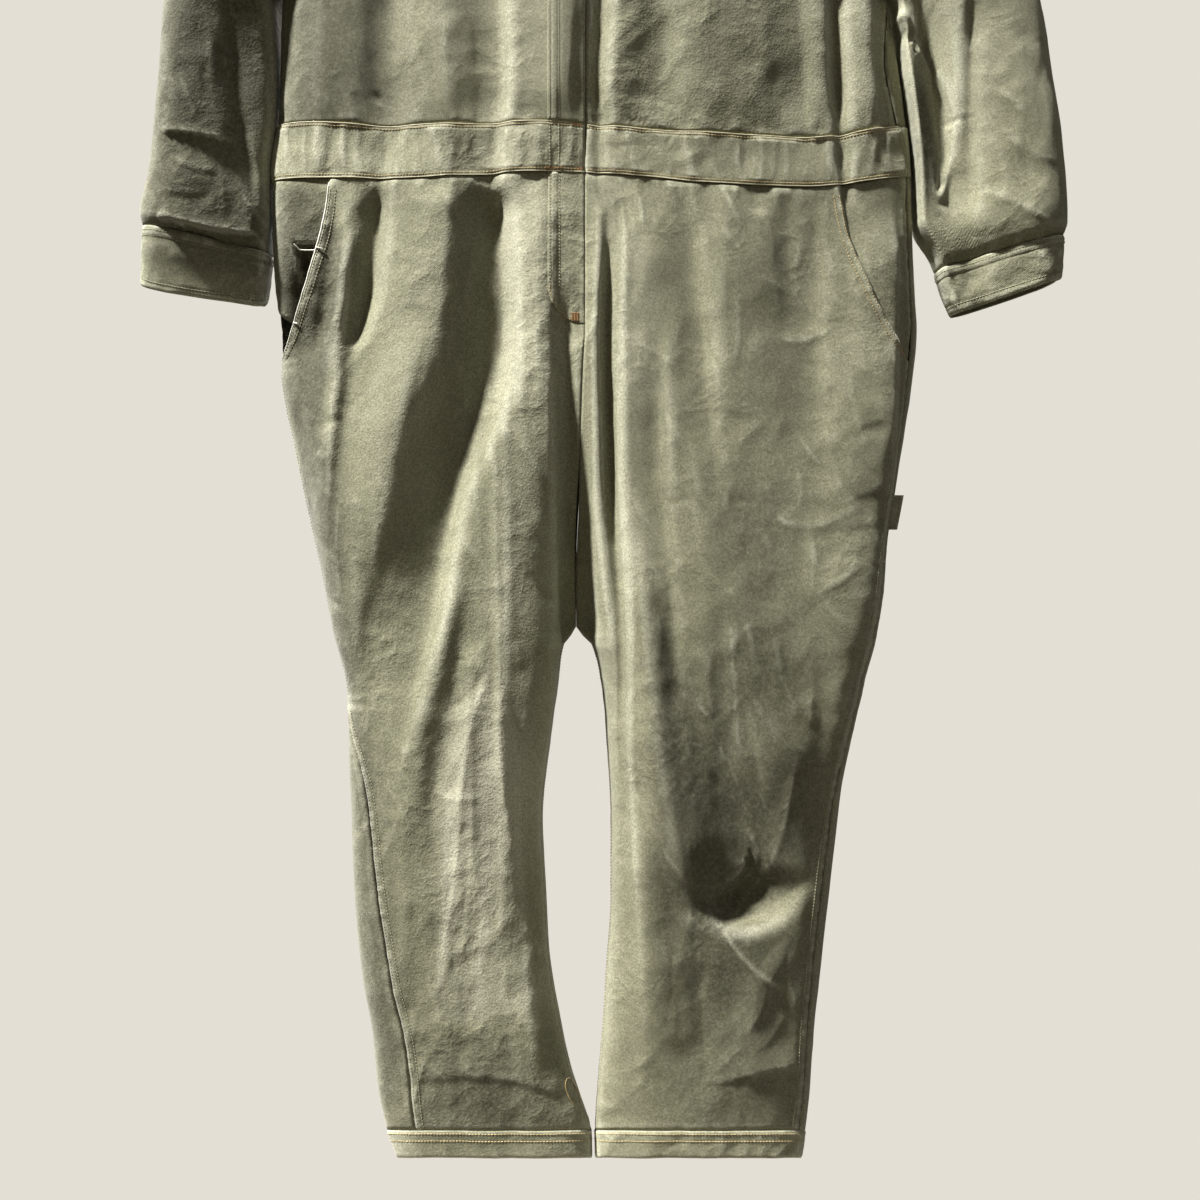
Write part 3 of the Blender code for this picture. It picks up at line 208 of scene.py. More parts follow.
# The waistband's seams: how far each lies below its nominal drop, across the front.
Waist = namedtuple("Waist", "x top bottom")
WAIST_LINE = rows_of(Waist, [
    (-330, -17, -8),
    (-170, -5, 0),
    (-70, -7, -6),
    (-5, -4, -5),
    (60, 0, -1),
    (110, 3, 4),
    (210, 6, 7),
    (333, -16, -12),
])

# Slant pockets: where the front's edge crosses each level.
Slant = namedtuple("Slant", "drop left right")
POCKET = rows_of(Slant, [
    (44, -264, 253),
    (104, -272, 263),
    (158, -285, 283),
    (199, -301, 304),
    (232, -320.5, 329),
])

# Sleeve levels: outer and inner edge, half depth. The first is the armhole, the last the cuff's end.
Ring = namedtuple("Ring", "outer_x outer_z inner_x inner_z depth")
SLEEVES = {
    LEFT: rows_of(Ring, [
        (-252, -157, -318, -385, 46),
        (-303, -186, -322, -398, 47),
        (-352, -232, -325, -413, 46),
        (-396, -297, -324, -434, 44),
        (-424, -355, -323, -462, 42),
        (-438, -410, -323.5, -495, 41),
        (-442, -470, -325.5, -535, 40),
        (-448, -527, -330.5, -578, 38),
        (-454, -585, -331.5, -624, 37),
        (-463, -627, -333, -655, 36),
        (-461, -639, -333, -665, 31),
        (-463, -664, -335, -690, 30),
        (-465, -691, -339, -715, 29),
    ]),
    RIGHT: rows_of(Ring, [
        (252, -157, 303, -382, 46),
        (306, -188, 309, -396, 47),
        (362, -238, 314, -410, 46),
        (410, -302, 317, -431, 44),
        (444, -360, 319.5, -459, 43),
        (464, -415, 324, -494, 42),
        (474, -475, 329.5, -535, 41),
        (484, -535, 334.5, -580, 39),
        (490, -597, 337, -634, 38),
        (491, -636, 356, -670, 36),
        (488, -649, 360, -682, 31),
        (487, -670, 368, -704, 30),
        (486, -691, 377, -727, 29),
    ]),
}

# The main folds, each a soft trough (negative) or ridge along a curve through three places, given
# across from the centre and down from the waist, with the reach of its left and right flanks, and
# the shares of its length over which it rises at its start and dies away at its end.
Fold = namedtuple("Fold", "x0 drop0 x1 drop1 x2 drop2 height reach_left reach_right start end",
                  defaults=(0.3, 0.3))
FRONT_FOLDS = rows_of(Fold, [
    # bodice, through the waistband
    (-284, -300, -276, -100, -280, 60, 5, 40, 18),
    (-242, -290, -240, -60, -242, 90, 5, 26, 18),
    (-206, -330, -204, -60, -212, 60, -10, 30, 20, 0.2),
    (-150, -330, -146, -60, -152, 60, 6, 34, 24, 0.2),
    (-96, -330, -94, -40, -98, 60, -9, 32, 10, 0.2, 0.3),
    (-50, -330, -46, -80, -48, 60, 6, 54, 20, 0.2),
    (-22, -300, -22, -70, -24, 60, 4, 18, 10, 0.2),
    (8, -300, 9, -60, 8, 90, -5, 6, 10),
    (30, -300, 28, -90, 24, 80, 4.5, 14, 34, 0.2, 0.4),
    (70, -330, 74, -80, 88, 60, -4, 34, 16, 0.2),
    (124, -330, 122, -90, 126, 40, 5, 40, 40, 0.2),
    (166, -240, 168, -90, 172, 40, 2.5, 24, 36),
    (214, -330, 212, -90, 222, 60, -5, 34, 13, 0.2, 0.4),
    (250, -250, 253, -50, 262, 90, -10, 8, 9),
    (280, -200, 284, -60, 292, 30, 6, 18, 12),
    # left leg
    (-262, 50, -262, 150, -286, 236, -6, 11, 12, 0.3, 0.5),
    (-238, 90, -252, 226, -264, 420, 8, 24, 9, 0.4, 0.5),
    (-214, 30, -222, 150, -262, 262, -11, 15, 14, 0.25, 0.5),
    (-146, 0, -154, 180, -194, 350, 9, 50, 18, 0.15, 0.4),
    (-166, 180, -206, 370, -246, 560, 8, 46, 20, 0.4, 0.5),
    (-104, 30, -91, 190, -122, 370, -19, 30, 17, 0.2, 0.4),
    (-100, 200, -146, 400, -198, 690, -13, 42, 16, 0.4, 0.4),
    (-48, 40, -44, 260, -40, 620, 7, 58, 12, 0.25, 0.4),
    (-24, 150, -20, 320, -16, 480, -6, 10, 8, 0.3, 0.4),
    (-202, 430, -218, 600, -206, 860, -4.5, 26, 26, 0.4, 0.5),
    (-134, 400, -158, 560, -188, 760, 4, 26, 16, 0.3, 0.5),
    (-118, 430, -142, 600, -176, 800, -2.2, 12, 15, 0.3, 0.5),
    (-98, 500, -126, 660, -158, 960, 1.4, 14, 14, 0.3, 0.5),
    (-86, 220, -84, 570, -98, 920, 1.6, 9, 9, 0.3, 0.5),
    (-66, 560, -62, 740, -76, 960, -2.2, 12, 22, 0.4, 0.5),
    (-134, 700, -118, 850, -140, 980, -1.8, 12, 13, 0.4, 0.4),
    (-66, 760, -60, 880, -48, 985, 3, 16, 11, 0.4, 0.3),
    (-300, 250, -296, 380, -270, 520, -5, 22, 16, 0.3, 0.5),
    (-184, 972, -106, 962, -24, 986, 1.4, 6, 20, 0.2, 0.1),
    # right leg
    (6, 60, 8, 250, 20, 560, 5, 10, 5),
    (15, 40, 20, 300, 37, 700, -7, 6, 7, 0.5, 0.5),
    (33, 40, 42, 420, 52, 900, 6, 9, 84, 0.15, 0.3),
    (92, 46, 110, 190, 134, 400, -7, 24, 11, 0.4, 0.4),
    (130, 40, 144, 180, 166, 340, 3.5, 22, 44, 0.3, 0.4),
    (74, 180, 74, 400, 106, 760, -6, 18, 10, 0.4, 0.5),
    (112, 280, 114, 480, 132, 760, 4, 18, 40, 0.4, 0.5),
    (200, 50, 196, 120, 208, 210, -3, 16, 12, 0.4, 0.5),
    (232, 50, 222, 190, 240, 420, -5, 34, 16, 0.4, 0.4),
    (302, 296, 276, 304, 232, 330, -0.6, 4, 9, 0.2, 0.6),
    (304, 366, 276, 372, 226, 388, -0.6, 4, 9, 0.2, 0.6),
    (296, 400, 240, 408, 180, 424, -0.7, 4, 10, 0.2, 0.6),
    (78, 330, 132, 600, 170, 812, -15, 58, 36, 0.5, 0.12),
    (116, 400, 128, 600, 150, 740, 4, 18, 60, 0.4, 0.4),
    (136, 640, 176, 634, 226, 600, 4, 50, 50, 0.3, 0.3),
    (50, 640, 56, 830, 50, 1000, 8, 18, 60, 0.3, 0.5),
    (114, 766, 166, 790, 226, 748, -12, 14, 46, 0.3, 0.3),
    (232, 520, 226, 700, 214, 980, -5, 70, 18, 0.3, 0.3),
    (304, 60, 306, 300, 266, 640, 8, 60, 12, 0.2, 0.3),
    (40, 330, 72, 600, 104, 806, 10.5, 18, 42, 0.65, 0.25),
    (298, 380, 274, 540, 252, 690, 9, 60, 12, 0.3, 0.3),
    (96, 780, 112, 900, 104, 1000, -3, 34, 16, 0.4, 0.4),
    (160, 800, 168, 900, 150, 1000, 3, 26, 22, 0.4, 0.3),
    (112, 976, 166, 960, 222, 950, 1.4, 6, 20, 0.25, 0.1),
])
BACK_FOLDS = rows_of(Fold, [
    (-216, -230, -206, -90, -214, 40, -8, 24, 22),
    (-160, -240, -152, -80, -160, 60, 7, 30, 18),
    (-96, -260, -104, -100, -112, 50, -7, 24, 20),
    (40, -250, 34, -90, 40, 40, 5, 22, 24),
    (122, -240, 130, -90, 118, 50, -8, 20, 24),
    (180, -240, 176, -80, 182, 60, 7, 18, 30),
    (226, -220, 220, -80, 232, 40, -7, 22, 22),
    (-232, 60, -214, 240, -180, 430, -9, 24, 20),
    (-160, 56, -150, 200, -110, 420, 9, 30, 12),
    (-120, 56, -110, 220, -70, 440, -12, 14, 26),
    (-176, 380, -152, 620, -170, 860, -11, 26, 22),
    (-90, 420, -96, 640, -84, 900, 6, 22, 24),
    (110, 56, 96, 230, 50, 450, -13, 24, 14),
    (150, 56, 140, 220, 100, 430, 9, 12, 30),
    (220, 60, 214, 240, 186, 420, -9, 22, 24),
    (176, 380, 150, 620, 168, 880, -12, 24, 24),
    (84, 480, 92, 680, 80, 900, 6, 22, 22),
])

# The smaller creases, sharper than the folds: pressed lines, wrinkles and drag lines.
FRONT_CREASES = rows_of(Fold, [
    # bodice
    (-222, -44, -204, -28, -178, -6, -1.4, 4, 6),
    (-222, -34, -206, -26, -184, -14, 1.2, 4, 5),
    (10, -14, 60, -11, 112, -1, 0.8, 2.5, 6),
    (16, -30, 58, -30, 96, -20, -0.6, 5, 6),
    # left leg
    (-95, 320, -92, 500, -80, 790, 1.6, 3, 8),
    (-98, 540, -126, 660, -158, 930, 0.8, 3, 6),
    (-112, 600, -120, 720, -130, 860, 0.7, 3, 5),
    (-60, 560, -64, 680, -58, 800, 0.6, 4, 5),
    (-84, 820, -76, 900, -50, 990, 0.7, 4, 5),
    (-72, 60, -70, 190, -66, 330, 1.0, 6, 6),
    (-50, 60, -52, 190, -52, 330, 0.9, 5, 6),
    (-142, 586, -118, 566, -104, 540, -1.2, 6, 5),
    (-286, 292, -266, 296, -246, 288, -0.9, 4, 5),
    (-280, 322, -262, 328, -248, 324, 0.9, 4, 5),
    (-70, 440, -52, 460, -36, 480, -0.9, 5, 5),
    (-168, 660, -132, 672, -104, 668, 0.8, 4, 4),
    (-186, 966, -110, 958, -30, 978, 0.4, 2, 5),
    # right leg
    (28, 50, 34, 74, 40, 120, -1.6, 4, 4),
    (44, 50, 50, 76, 54, 110, 1.6, 4, 4),
    (60, 50, 66, 70, 70, 96, -1.4, 4, 4),
    (130, 52, 140, 76, 150, 104, 1.5, 5, 5),
    (158, 52, 164, 72, 168, 90, -1.4, 5, 4),
    (188, 206, 214, 212, 250, 196, 1.4, 4, 6),
    (270, 300, 286, 304, 304, 298, -0.6, 4, 8),
    (176, 376, 214, 400, 282, 372, 1.2, 4, 8),
    (224, 466, 250, 452, 268, 430, 1.2, 3, 6),
    (76, 376, 92, 374, 110, 376, -0.7, 3, 4),
    (140, 374, 154, 374, 172, 376, -0.7, 3, 4),
    (120, 600, 160, 690, 170, 800, 1.2, 6, 8),
    (210, 620, 190, 720, 150, 800, 1.3, 6, 7),
    (130, 796, 160, 840, 214, 878, 1.3, 5, 7),
    (60, 700, 80, 820, 66, 930, -1.2, 7, 8),
    (104, 972, 156, 960, 216, 948, 0.4, 2, 5),
])
BACK_CREASES = rows_of(Fold, [
    (-200, 330, -150, 350, -90, 346, 2.2, 5, 9),
    (200, 330, 150, 352, 84, 350, 2.2, 5, 9),
    (-180, 380, -130, 392, -60, 380, -2.0, 7, 7),
    (170, 384, 120, 396, 60, 384, -2.0, 7, 7),
    (-190, 600, -150, 612, -110, 604, 2.0, 5, 8),
    (190, 610, 150, 622, 112, 612, 2.0, 5, 8),
    (-210, -110, -160, -90, -120, -60, 2.0, 6, 7),
    (200, -120, 150, -96, 110, -66, 2.0, 6, 7),
    (-60, -200, -50, -120, -58, -30, 1.4, 7, 8),
    (-140, 700, -120, 800, -96, 920, 1.6, 6, 8),
    (140, 700, 122, 800, 100, 920, 1.6, 6, 8),
])

# Where the front's cloth is painted paler (positive) or darker (negative), given like the folds: painted
# highlights on lit folds, pale lines along pressed creases, painted shade in troughs and hollows, on the left
# pocket's facing, the lower right leg and the right sleeve's inner side, and darker along the left flank.
FRONT_PAINTED_LIGHT_AND_SHADE = rows_of(Fold, [
    (-70, -260, -68, 260, -70, 900, 0.25, 34, 26, 0.1),
    (-190, -330, -180, -150, -180, 10, -0.5, 60, 40, 0.1, 0.1),
    (-86, 240, -84, 570, -96, 880, 0.6, 3, 5),
    (-98, 530, -126, 660, -160, 940, 0.9, 5, 8),
    (-66, 800, -58, 900, -50, 960, 0.5, 8, 6),
    (-112, 560, -104, 720, -118, 900, 0.5, 4, 6),
    (-140, 640, -146, 760, -150, 900, 0.4, 4, 5),
    (-76, 560, -74, 700, -60, 860, 0.35, 4, 5),
    (-130, 520, -116, 740, -120, 960, 0.8, 46, 60, 0.3, 0.2),
    (-120, 880, -110, 960, -100, 1040, -0.9, 80, 70, 0.3, 0.1),
    (-150, -240, -150, 0, -160, 250, 0.25, 26, 22),
    (-276, -330, -270, -150, -272, 20, -0.9, 70, 60, 0.1, 0.1),
    (40, 60, 44, 300, 50, 700, 0.35, 12, 26),
    (-238, 150, -254, 226, -266, 350, 0.5, 6, 4),
    (-276, 300, -262, 560, -212, 1040, -1.4, 56, 32, 0.2, 0.1),
    # painted shade on the left pocket's facing
    (-300, 40, -306, 160, -296, 320, -1.1, 40, 34, 0.1, 0.3),
    (-266, 70, -266, 160, -280, 300, -1.1, 30, 22, 0.3, 0.3),
    (-110, 30, -106, 180, -140, 380, -0.5, 34, 8, 0.1, 0.4),
    # painted shade over the lower right leg
    (120, 430, 130, 780, 130, 1040, -0.85, 64, 90, 0.3, 0.1),
    (180, -300, 190, 140, 190, 460, -0.35, 70, 60, 0.1, 0.3),
    (130, 300, 165, 460, 180, 620, -0.85, 60, 60, 0.3, 0.3),
    # painted shade in the trough above the right knee
    (56, 430, 88, 600, 122, 800, -0.9, 30, 12, 0.2, 0.2),
    (140, 660, 170, 730, 190, 790, -0.7, 40, 30, 0.3, 0.3),
    (90, 690, 110, 800, 104, 900, -0.5, 50, 50, 0.3, 0.3),
    (-284, 230, -284, 300, -270, 420, -1.0, 24, 22, 0.2, 0.3),
    # painted shade on the right sleeve's inner side
    (326, -80, 344, 0, 344, 90, -1.3, 14, 8, 0.3, 0.3),
    (48, 500, 50, 700, 52, 960, 0.4, 10, 14, 0.3, 0.3),
    (130, 796, 160, 840, 214, 878, 0.6, 2.5, 3),
    (104, 880, 116, 860, 128, 800, 0.6, 3, 4),
    (70, 900, 96, 800, 118, 700, 0.45, 3, 5),
    (60, 930, 120, 820, 200, 800, 0.4, 2.5, 4),
    (120, 820, 150, 790, 196, 720, 0.4, 3, 4),
    (96, 780, 112, 860, 116, 940, 0.4, 3, 4),
    (100, 420, 150, 470, 220, 480, 0.3, 3, 4),
    (150, 560, 170, 640, 176, 700, 0.35, 3, 5),
])

# Folds of the sleeves: along the sleeve (0 armhole, 1 cuff seam), round it (degrees from the outer
# edge, through the front), how high, and how far it reaches along and round.
SleeveFold = namedtuple("SleeveFold", "along round height reach_along reach_round")
SLEEVE_FOLDS = {
    LEFT: rows_of(SleeveFold, [
        (0.55, 36, 7, 0.50, 34),
        (0.60, 118, -8, 0.46, 34),
        (1.10, 40, 4, 0.24, 34),
        (1.10, 120, -4, 0.24, 34),
        (0.30, 80, 4, 0.12, 30),
        (0.72, 60, 2, 0.06, 60),
        (0.90, 95, 2, 0.07, 70),
        (0.50, 250, -6, 0.16, 24),
        (0.78, 285, -5, 0.06, 50),
    ]),
    RIGHT: rows_of(SleeveFold, [
        (0.60, 48, 6, 0.60, 36),
        (0.56, 126, -19, 0.40, 15),
        (0.52, 166, 12, 0.52, 13),
        (1.10, 50, 6, 0.30, 38),
        (1.10, 130, -3, 0.24, 34),
        (0.30, 70, 3, 0.12, 30),
        (0.74, 45, 2, 0.07, 46),
        (0.93, 90, 2, 0.05, 70),
        (0.50, 245, -6, 0.16, 24),
        (0.78, 280, -5, 0.06, 50),
    ]),
}
# Creases of the sleeves' fronts, given like the folds of the body.
SLEEVE_CREASES = {
    LEFT: rows_of(Fold, [
        (-440, 0, -400, 2, -354, 10, 2.6, 1.6, 9, 0.2, 0.3),
        (-440, 84, -396, 94, -336, 100, 3.0, 1.6, 9, 0.1, 0.1),
        (-430, 20, -400, 36, -372, 34, 1.2, 2, 6, 0.3),
        (-436, 60, -408, 66, -376, 58, -1.0, 5, 2, 0.3),
        (-372, -160, -356, -20, -342, 80, -4.0, 7, 11),
        (-420, -80, -402, -50, -384, -20, -1.0, 6, 7),
        (-430, 30, -402, 46, -372, 48, 0.8, 4, 7),
        (-440, -110, -424, -60, -420, -20, 1.0, 7, 9),
        (-392, -130, -384, -90, -386, -40, 0.8, 4, 6),
    ]),
    RIGHT: rows_of(Fold, [
        (307, -134, 358, -64, 374, -10, 4.0, 3, 7, 0.1, 0.1),
        (303, -124, 352, -56, 366, -6, -2.5, 4, 3, 0.1, 0.1),
        (374, -17, 370, 20, 354, 70, 4.0, 4, 6, 0.1, 0.1),
        (352, 78, 366, 82, 388, 126, 2.0, 4, 6),
        (384, -170, 382, -20, 384, 92, -6.0, 4, 14, 0.2, 0.2),
        (412, -44, 426, -28, 440, -14, 1.3, 3, 5),
        (390, 58, 430, 74, 474, 100, 1.6, 3, 7),
        (424, -120, 446, -70, 470, -30, -1.2, 6, 8),
        (410, -10, 440, 20, 480, 30, 1.1, 4, 7),
        (470, -100, 440, 10, 452, 70, -1.0, 7, 8),
        (400, 0, 418, 40, 412, 90, 0.8, 4, 6),
    ]),
}
# How far below its seam each row of a cuff's stitches lies.
CUFF_ROWS = {LEFT: (4.0, 9.0, 44.0), RIGHT: (4.0, 9.0, 36.0)}

# ---------------------------------------------------------------- how finely the shells are built
DENSE = 160              # points along each section before it is read at even steps
LEVEL_STEP = 9.0         # between the levels that are worked out, before rows are blended in
FRONT_COLUMNS = 112      # points across a front
LEG_BACK_COLUMNS = 76    # across a trouser back
HALF_BACK_COLUMNS = 62   # across half of the bodice's back
BAND_COLUMNS = {FRONT: 116, BACK: 70}
STRIP_COLUMNS = 26       # and across a placket or a pocket facing
FRONT_CORNER = 27        # the columns of a front and of half a back that lie at the neck's corner
BACK_CORNER = 15
SLEEVE_STEP, CUFF_STEP = 3.0, 2.2
SLEEVE_COLUMNS = 120     # points round a sleeve
COLLAR_COLUMNS = 120     # points round a collar
STAND_ROWS, FALL_ROWS = 12, 26
LOOP_ROWS = 13


# ---------------------------------------------------------------- curves and sections
def glide(knots, values, at):
    """A smooth curve through the values at the knots, never past them, read at the places given."""
    knots = np.asarray(knots, float)
    values = np.asarray(values, float)
    at = np.clip(np.asarray(at, float), knots[0], knots[-1])
    rise = np.diff(values) / np.diff(knots)
    slope = np.zeros(len(knots))
    turning = rise[:-1] * rise[1:] <= 0
    safe = np.where(turning, 1.0, rise[:-1] + rise[1:])
    slope[1:-1] = np.where(turning, 0.0, 2 * rise[:-1] * rise[1:] / safe)
    slope[0], slope[-1] = rise[0], rise[-1]
    i = np.clip(np.searchsorted(knots, at, side="right") - 1, 0, len(knots) - 2)
    step = knots[i + 1] - knots[i]
    t = (at - knots[i]) / step
    return (values[i] * (1 + 2 * t) * (1 - t) ** 2 + slope[i] * step * t * (1 - t) ** 2
            + values[i + 1] * t * t * (3 - 2 * t) + slope[i + 1] * step * t * t * (t - 1))


def column(table, name, at):
    """One named column of a table, read as a smooth curve along the table's first column."""
    first = table[0]._fields[0]
    return glide([getattr(row, first) for row in table], [getattr(row, name) for row in table], at)


def side_name(side):
    return "left" if side == LEFT else "right"


def ease(t):
    t = np.clip(t, 0.0, 1.0)
    return t * t * (3 - 2 * t)


def bell(away, reach):
    """A rounded bump: 1 in the middle, and all but gone at twice its reach."""
    return np.exp(-(away / reach) ** 2)


def unit(vectors):
    return vectors / np.maximum(np.linalg.norm(vectors, axis=-1), 1e-9)[..., None]


def waist_z(name, x):
    nominal = 0.0 if name == "top" else WAISTBAND
    return WAIST_Z - nominal - column(WAIST_LINE, name, x)


def level_z(x, drop):
    """Height of a level at x: it follows the waist seams near the waist and is flat lower down."""
    top = column(WAIST_LINE, "top", x)
    bottom = column(WAIST_LINE, "bottom", x)
    share = np.clip(drop / WAISTBAND, 0.0, 1.0)
    sag = top * (1 - share) + bottom * share
    return WAIST_Z - drop - sag * (1 - ease((drop - WAISTBAND) / WAIST_SETTLE))


def outward(points):
    """Horizontal normals of a dense section, to the left of its run, seen from above."""
    run = np.gradient(points[:, :2], axis=0)
    return unit(np.stack([run[:, 1], -run[:, 0], np.zeros(len(run))], axis=1))


def run_of(points):
    """Length along a line, in space."""
    return np.concatenate([[0.0], np.cumsum(np.linalg.norm(np.diff(points, axis=0), axis=1))])


def arc_of(points):
    """Length along a section, seen from above."""
    steps = np.hypot(*np.diff(points[:, :2], axis=0).T)
    return np.concatenate([[0.0], np.cumsum(steps)])


def read_at(arc, values, places):
    return np.stack([np.interp(places, arc, values[:, k]) for k in range(values.shape[1])], axis=1)


# ---------------------------------------------------------------- folds and creases
def line_height(lines, across_at, down_at, sharp):
    """Height of folds at places given across and down: each is a ridge along a bent line. A sharp one
    has a crest like a pressed crease, the others are rounded."""
    total = np.zeros(across_at.shape)
    t = np.linspace(0.0, 1.0, 25)
    for line in lines:
        ax, ad, bx, bd, cx, cd, height, reach_left, reach_right, start, end = line
        line_x = ax * (1 - t) * (1 - 2 * t) + bx * 4 * t * (1 - t) + cx * t * (2 * t - 1)
        line_d = ad * (1 - t) * (1 - 2 * t) + bd * 4 * t * (1 - t) + cd * t * (2 * t - 1)
        room = 3.2 * max(reach_left, reach_right)
        near = ((across_at > line_x.min() - room) & (across_at < line_x.max() + room)
                & (down_at > line_d.min() - room) & (down_at < line_d.max() + room))
        if not near.any():
            continue
        x, d = across_at[near], down_at[near]
        nearest = np.argmin((x[:, None] - line_x) ** 2 + (d[:, None] - line_d) ** 2, axis=1)
        run_x = np.gradient(line_x)[nearest]
        run_d = np.gradient(line_d)[nearest]
        length = np.hypot(run_x, run_d)
        off_x, off_d = x - line_x[nearest], d - line_d[nearest]
        across = (off_x * run_d - off_d * run_x) / length
        along = (off_x * run_x + off_d * run_d) / length
        place = np.clip(t[nearest] + along / length / (len(t) - 1), 0.0, 1.0)
        taper = ease(place / start) * ease((1 - place) / end)
        reach = np.where(across < 0, reach_left, reach_right) * (0.45 + 0.55 * taper)
        away = (across / reach) ** 2
        profile = np.exp(-np.sqrt(away + 0.09) + 0.3) if sharp else np.exp(-away)
        total[near] += height * taper * profile
    return total


CLOUD_CELLS = (61, 67)   # cells before the random values repeat
CLOUD_SHIFT = 700.0      # keeps the cells' numbers above zero


def cloud(x, z, cell_x, cell_z, seed):
    """Smooth random values from -1 to 1, with cells of the given width and height."""
    table = np.random.default_rng(seed).uniform(-1.0, 1.0, CLOUD_CELLS)
    u, v = x / cell_x + CLOUD_SHIFT, z / cell_z + CLOUD_SHIFT
    i, j = np.floor(u).astype(int), np.floor(v).astype(int)
    fu, fv = ease(u - i), ease(v - j)

    def corner(a, b):
        return table[(i + a) % CLOUD_CELLS[0], (j + b) % CLOUD_CELLS[1]]

    low = corner(0, 0) * (1 - fu) + corner(1, 0) * fu
    high = corner(0, 1) * (1 - fu) + corner(1, 1) * fu
    return low * (1 - fv) + high * fv


def wrinkles(x, z, seed):
    """Washed-in wrinkles over long soft flutes: crooked ridges with flat cloth between them, in patches."""
    height = 0.6 * cloud(x, z, 26, 230, seed) + 0.25 * cloud(x, z, 11, 120, seed + 1)
    height = height + 0.2 * cloud(x, z, 46, 40, seed + 2)
    ridges = ((12, 44, 1.5), (-34, 33, 1.3), (58, 40, 0.8), (-8, 19, 0.8), (34, 24, 0.8), (-62, 27, 0.6))
    for k, (turn, cell, size) in enumerate(ridges):
        c, s = cos(radians(turn)), sin(radians(turn))
        along, across = x * s + z * c, x * c - z * s
        bend = 6.0 * cloud(x, z, 40, 40, seed + 10 + k)
        value = cloud(across + bend, along + bend, cell, cell * 2.1, seed + 20 + k)
        patch = 0.15 + 0.85 * ease(cloud(x, z, 80, 110, seed + 30 + k) * 1.5 + 0.3)
        height = height - size * patch * np.sqrt(value * value + 0.0016)
    return height + 1.0


def scattered(seed, count, left, right, top, foot, lean):
    """Short random creases inside a box, most of them near one lean from the vertical, in degrees."""
    chance = np.random.default_rng(seed)
    made = []
    for _ in range(count):
        x, drop = chance.uniform(left, right), chance.uniform(top, foot)
        turn, size = radians(chance.normal(lean, 26)), chance.uniform(22, 90)
        away_x, away_d, bend = sin(turn) * size / 2, cos(turn) * size / 2, chance.uniform(-0.12, 0.12) * size
        made.append(Fold(x - away_x, drop - away_d, x + bend * cos(turn), drop - bend * sin(turn), x + away_x,
                         drop + away_d,
                         chance.choice((-1, 1)) * chance.uniform(0.3, 0.9) * (0.4 + 0.6 * abs(cos(turn))),
                         chance.uniform(2.5, 6), chance.uniform(2.5, 6), 0.35, 0.35))
    return made


SMALL_FRONT = (scattered(301, 36, -236, -56, 520, 1005, -8) + scattered(302, 52, 56, 226, 420, 1005, 18)
               + scattered(303, 18, -300, -50, -330, -15, 4) + scattered(304, 24, 18, 290, -330, -15, -10)
               + scattered(305, 26, 50, 290, 70, 430, 8) + scattered(306, 16, -260, -50, 70, 520, -4)
               + scattered(307, 12, -300, -240, 250, 500, 40) + scattered(308, 12, 220, 300, 240, 480, 80))
SMALL_BACK = (scattered(311, 60, -240, 240, 60, 1000, 0) + scattered(312, 34, -290, 280, -360, -15, 0))
SMALL_SLEEVE = {LEFT: scattered(321, 14, -450, -335, -260, 92, 40),
                RIGHT: scattered(322, 16, 340, 480, -260, 110, -40)}


# ---------------------------------------------------------------- patches of the surface
Patch = namedtuple("Patch", "points normals places levels")


def blend_rows(rows, times):
    """Rows blended in between the rows of an array, so that each step becomes several."""
    rows = np.asarray(rows, float)
    at = np.linspace(0, len(rows) - 1, (len(rows) - 1) * times + 1)
    low = np.minimum(at.astype(int), len(rows) - 2)
    share = (at - low).reshape(-1, *[1] * (rows.ndim - 1))
    return rows[low] * (1 - share) + rows[low + 1] * share


def grid_normals(grid, rough, closed=False):
    """Normals of a grid of points, turned to agree with a rough outward direction for each point."""
    if closed:
        wrapped = np.concatenate([grid[:, -1:], grid, grid[:, :1]], axis=1)
        across = np.gradient(wrapped, axis=1)[:, 1:-1]
    else:
        across = np.gradient(grid, axis=1)
    normal = unit(np.cross(across, np.gradient(grid, axis=0)))
    return normal * np.where((normal * rough).sum(axis=2) < 0, -1.0, 1.0)[..., None]


def run_on(patch, levels, places):
    """Points and normals of a line over a patch, at levels and places along its rows."""
    levels, places = np.broadcast_arrays(np.asarray(levels, float), np.asarray(places, float))
    row = np.interp(levels, patch.levels, np.arange(len(patch.levels)))
    low = np.clip(row.astype(int), 0, len(patch.levels) - 2)
    share = (row - low)[:, None]
    found = []
    for k in (0, 1):
        points, normals = [], []
        for r, place in zip(low + k, places):
            points.append(read_at(patch.places[r], patch.points[r], [place])[0])
            normals.append(read_at(patch.places[r], patch.normals[r], [place])[0])
        found.append((np.array(points), np.array(normals)))
    points = found[0][0] * (1 - share) + found[1][0] * share
    return points, unit(found[0][1] * (1 - share) + found[1][1] * share)


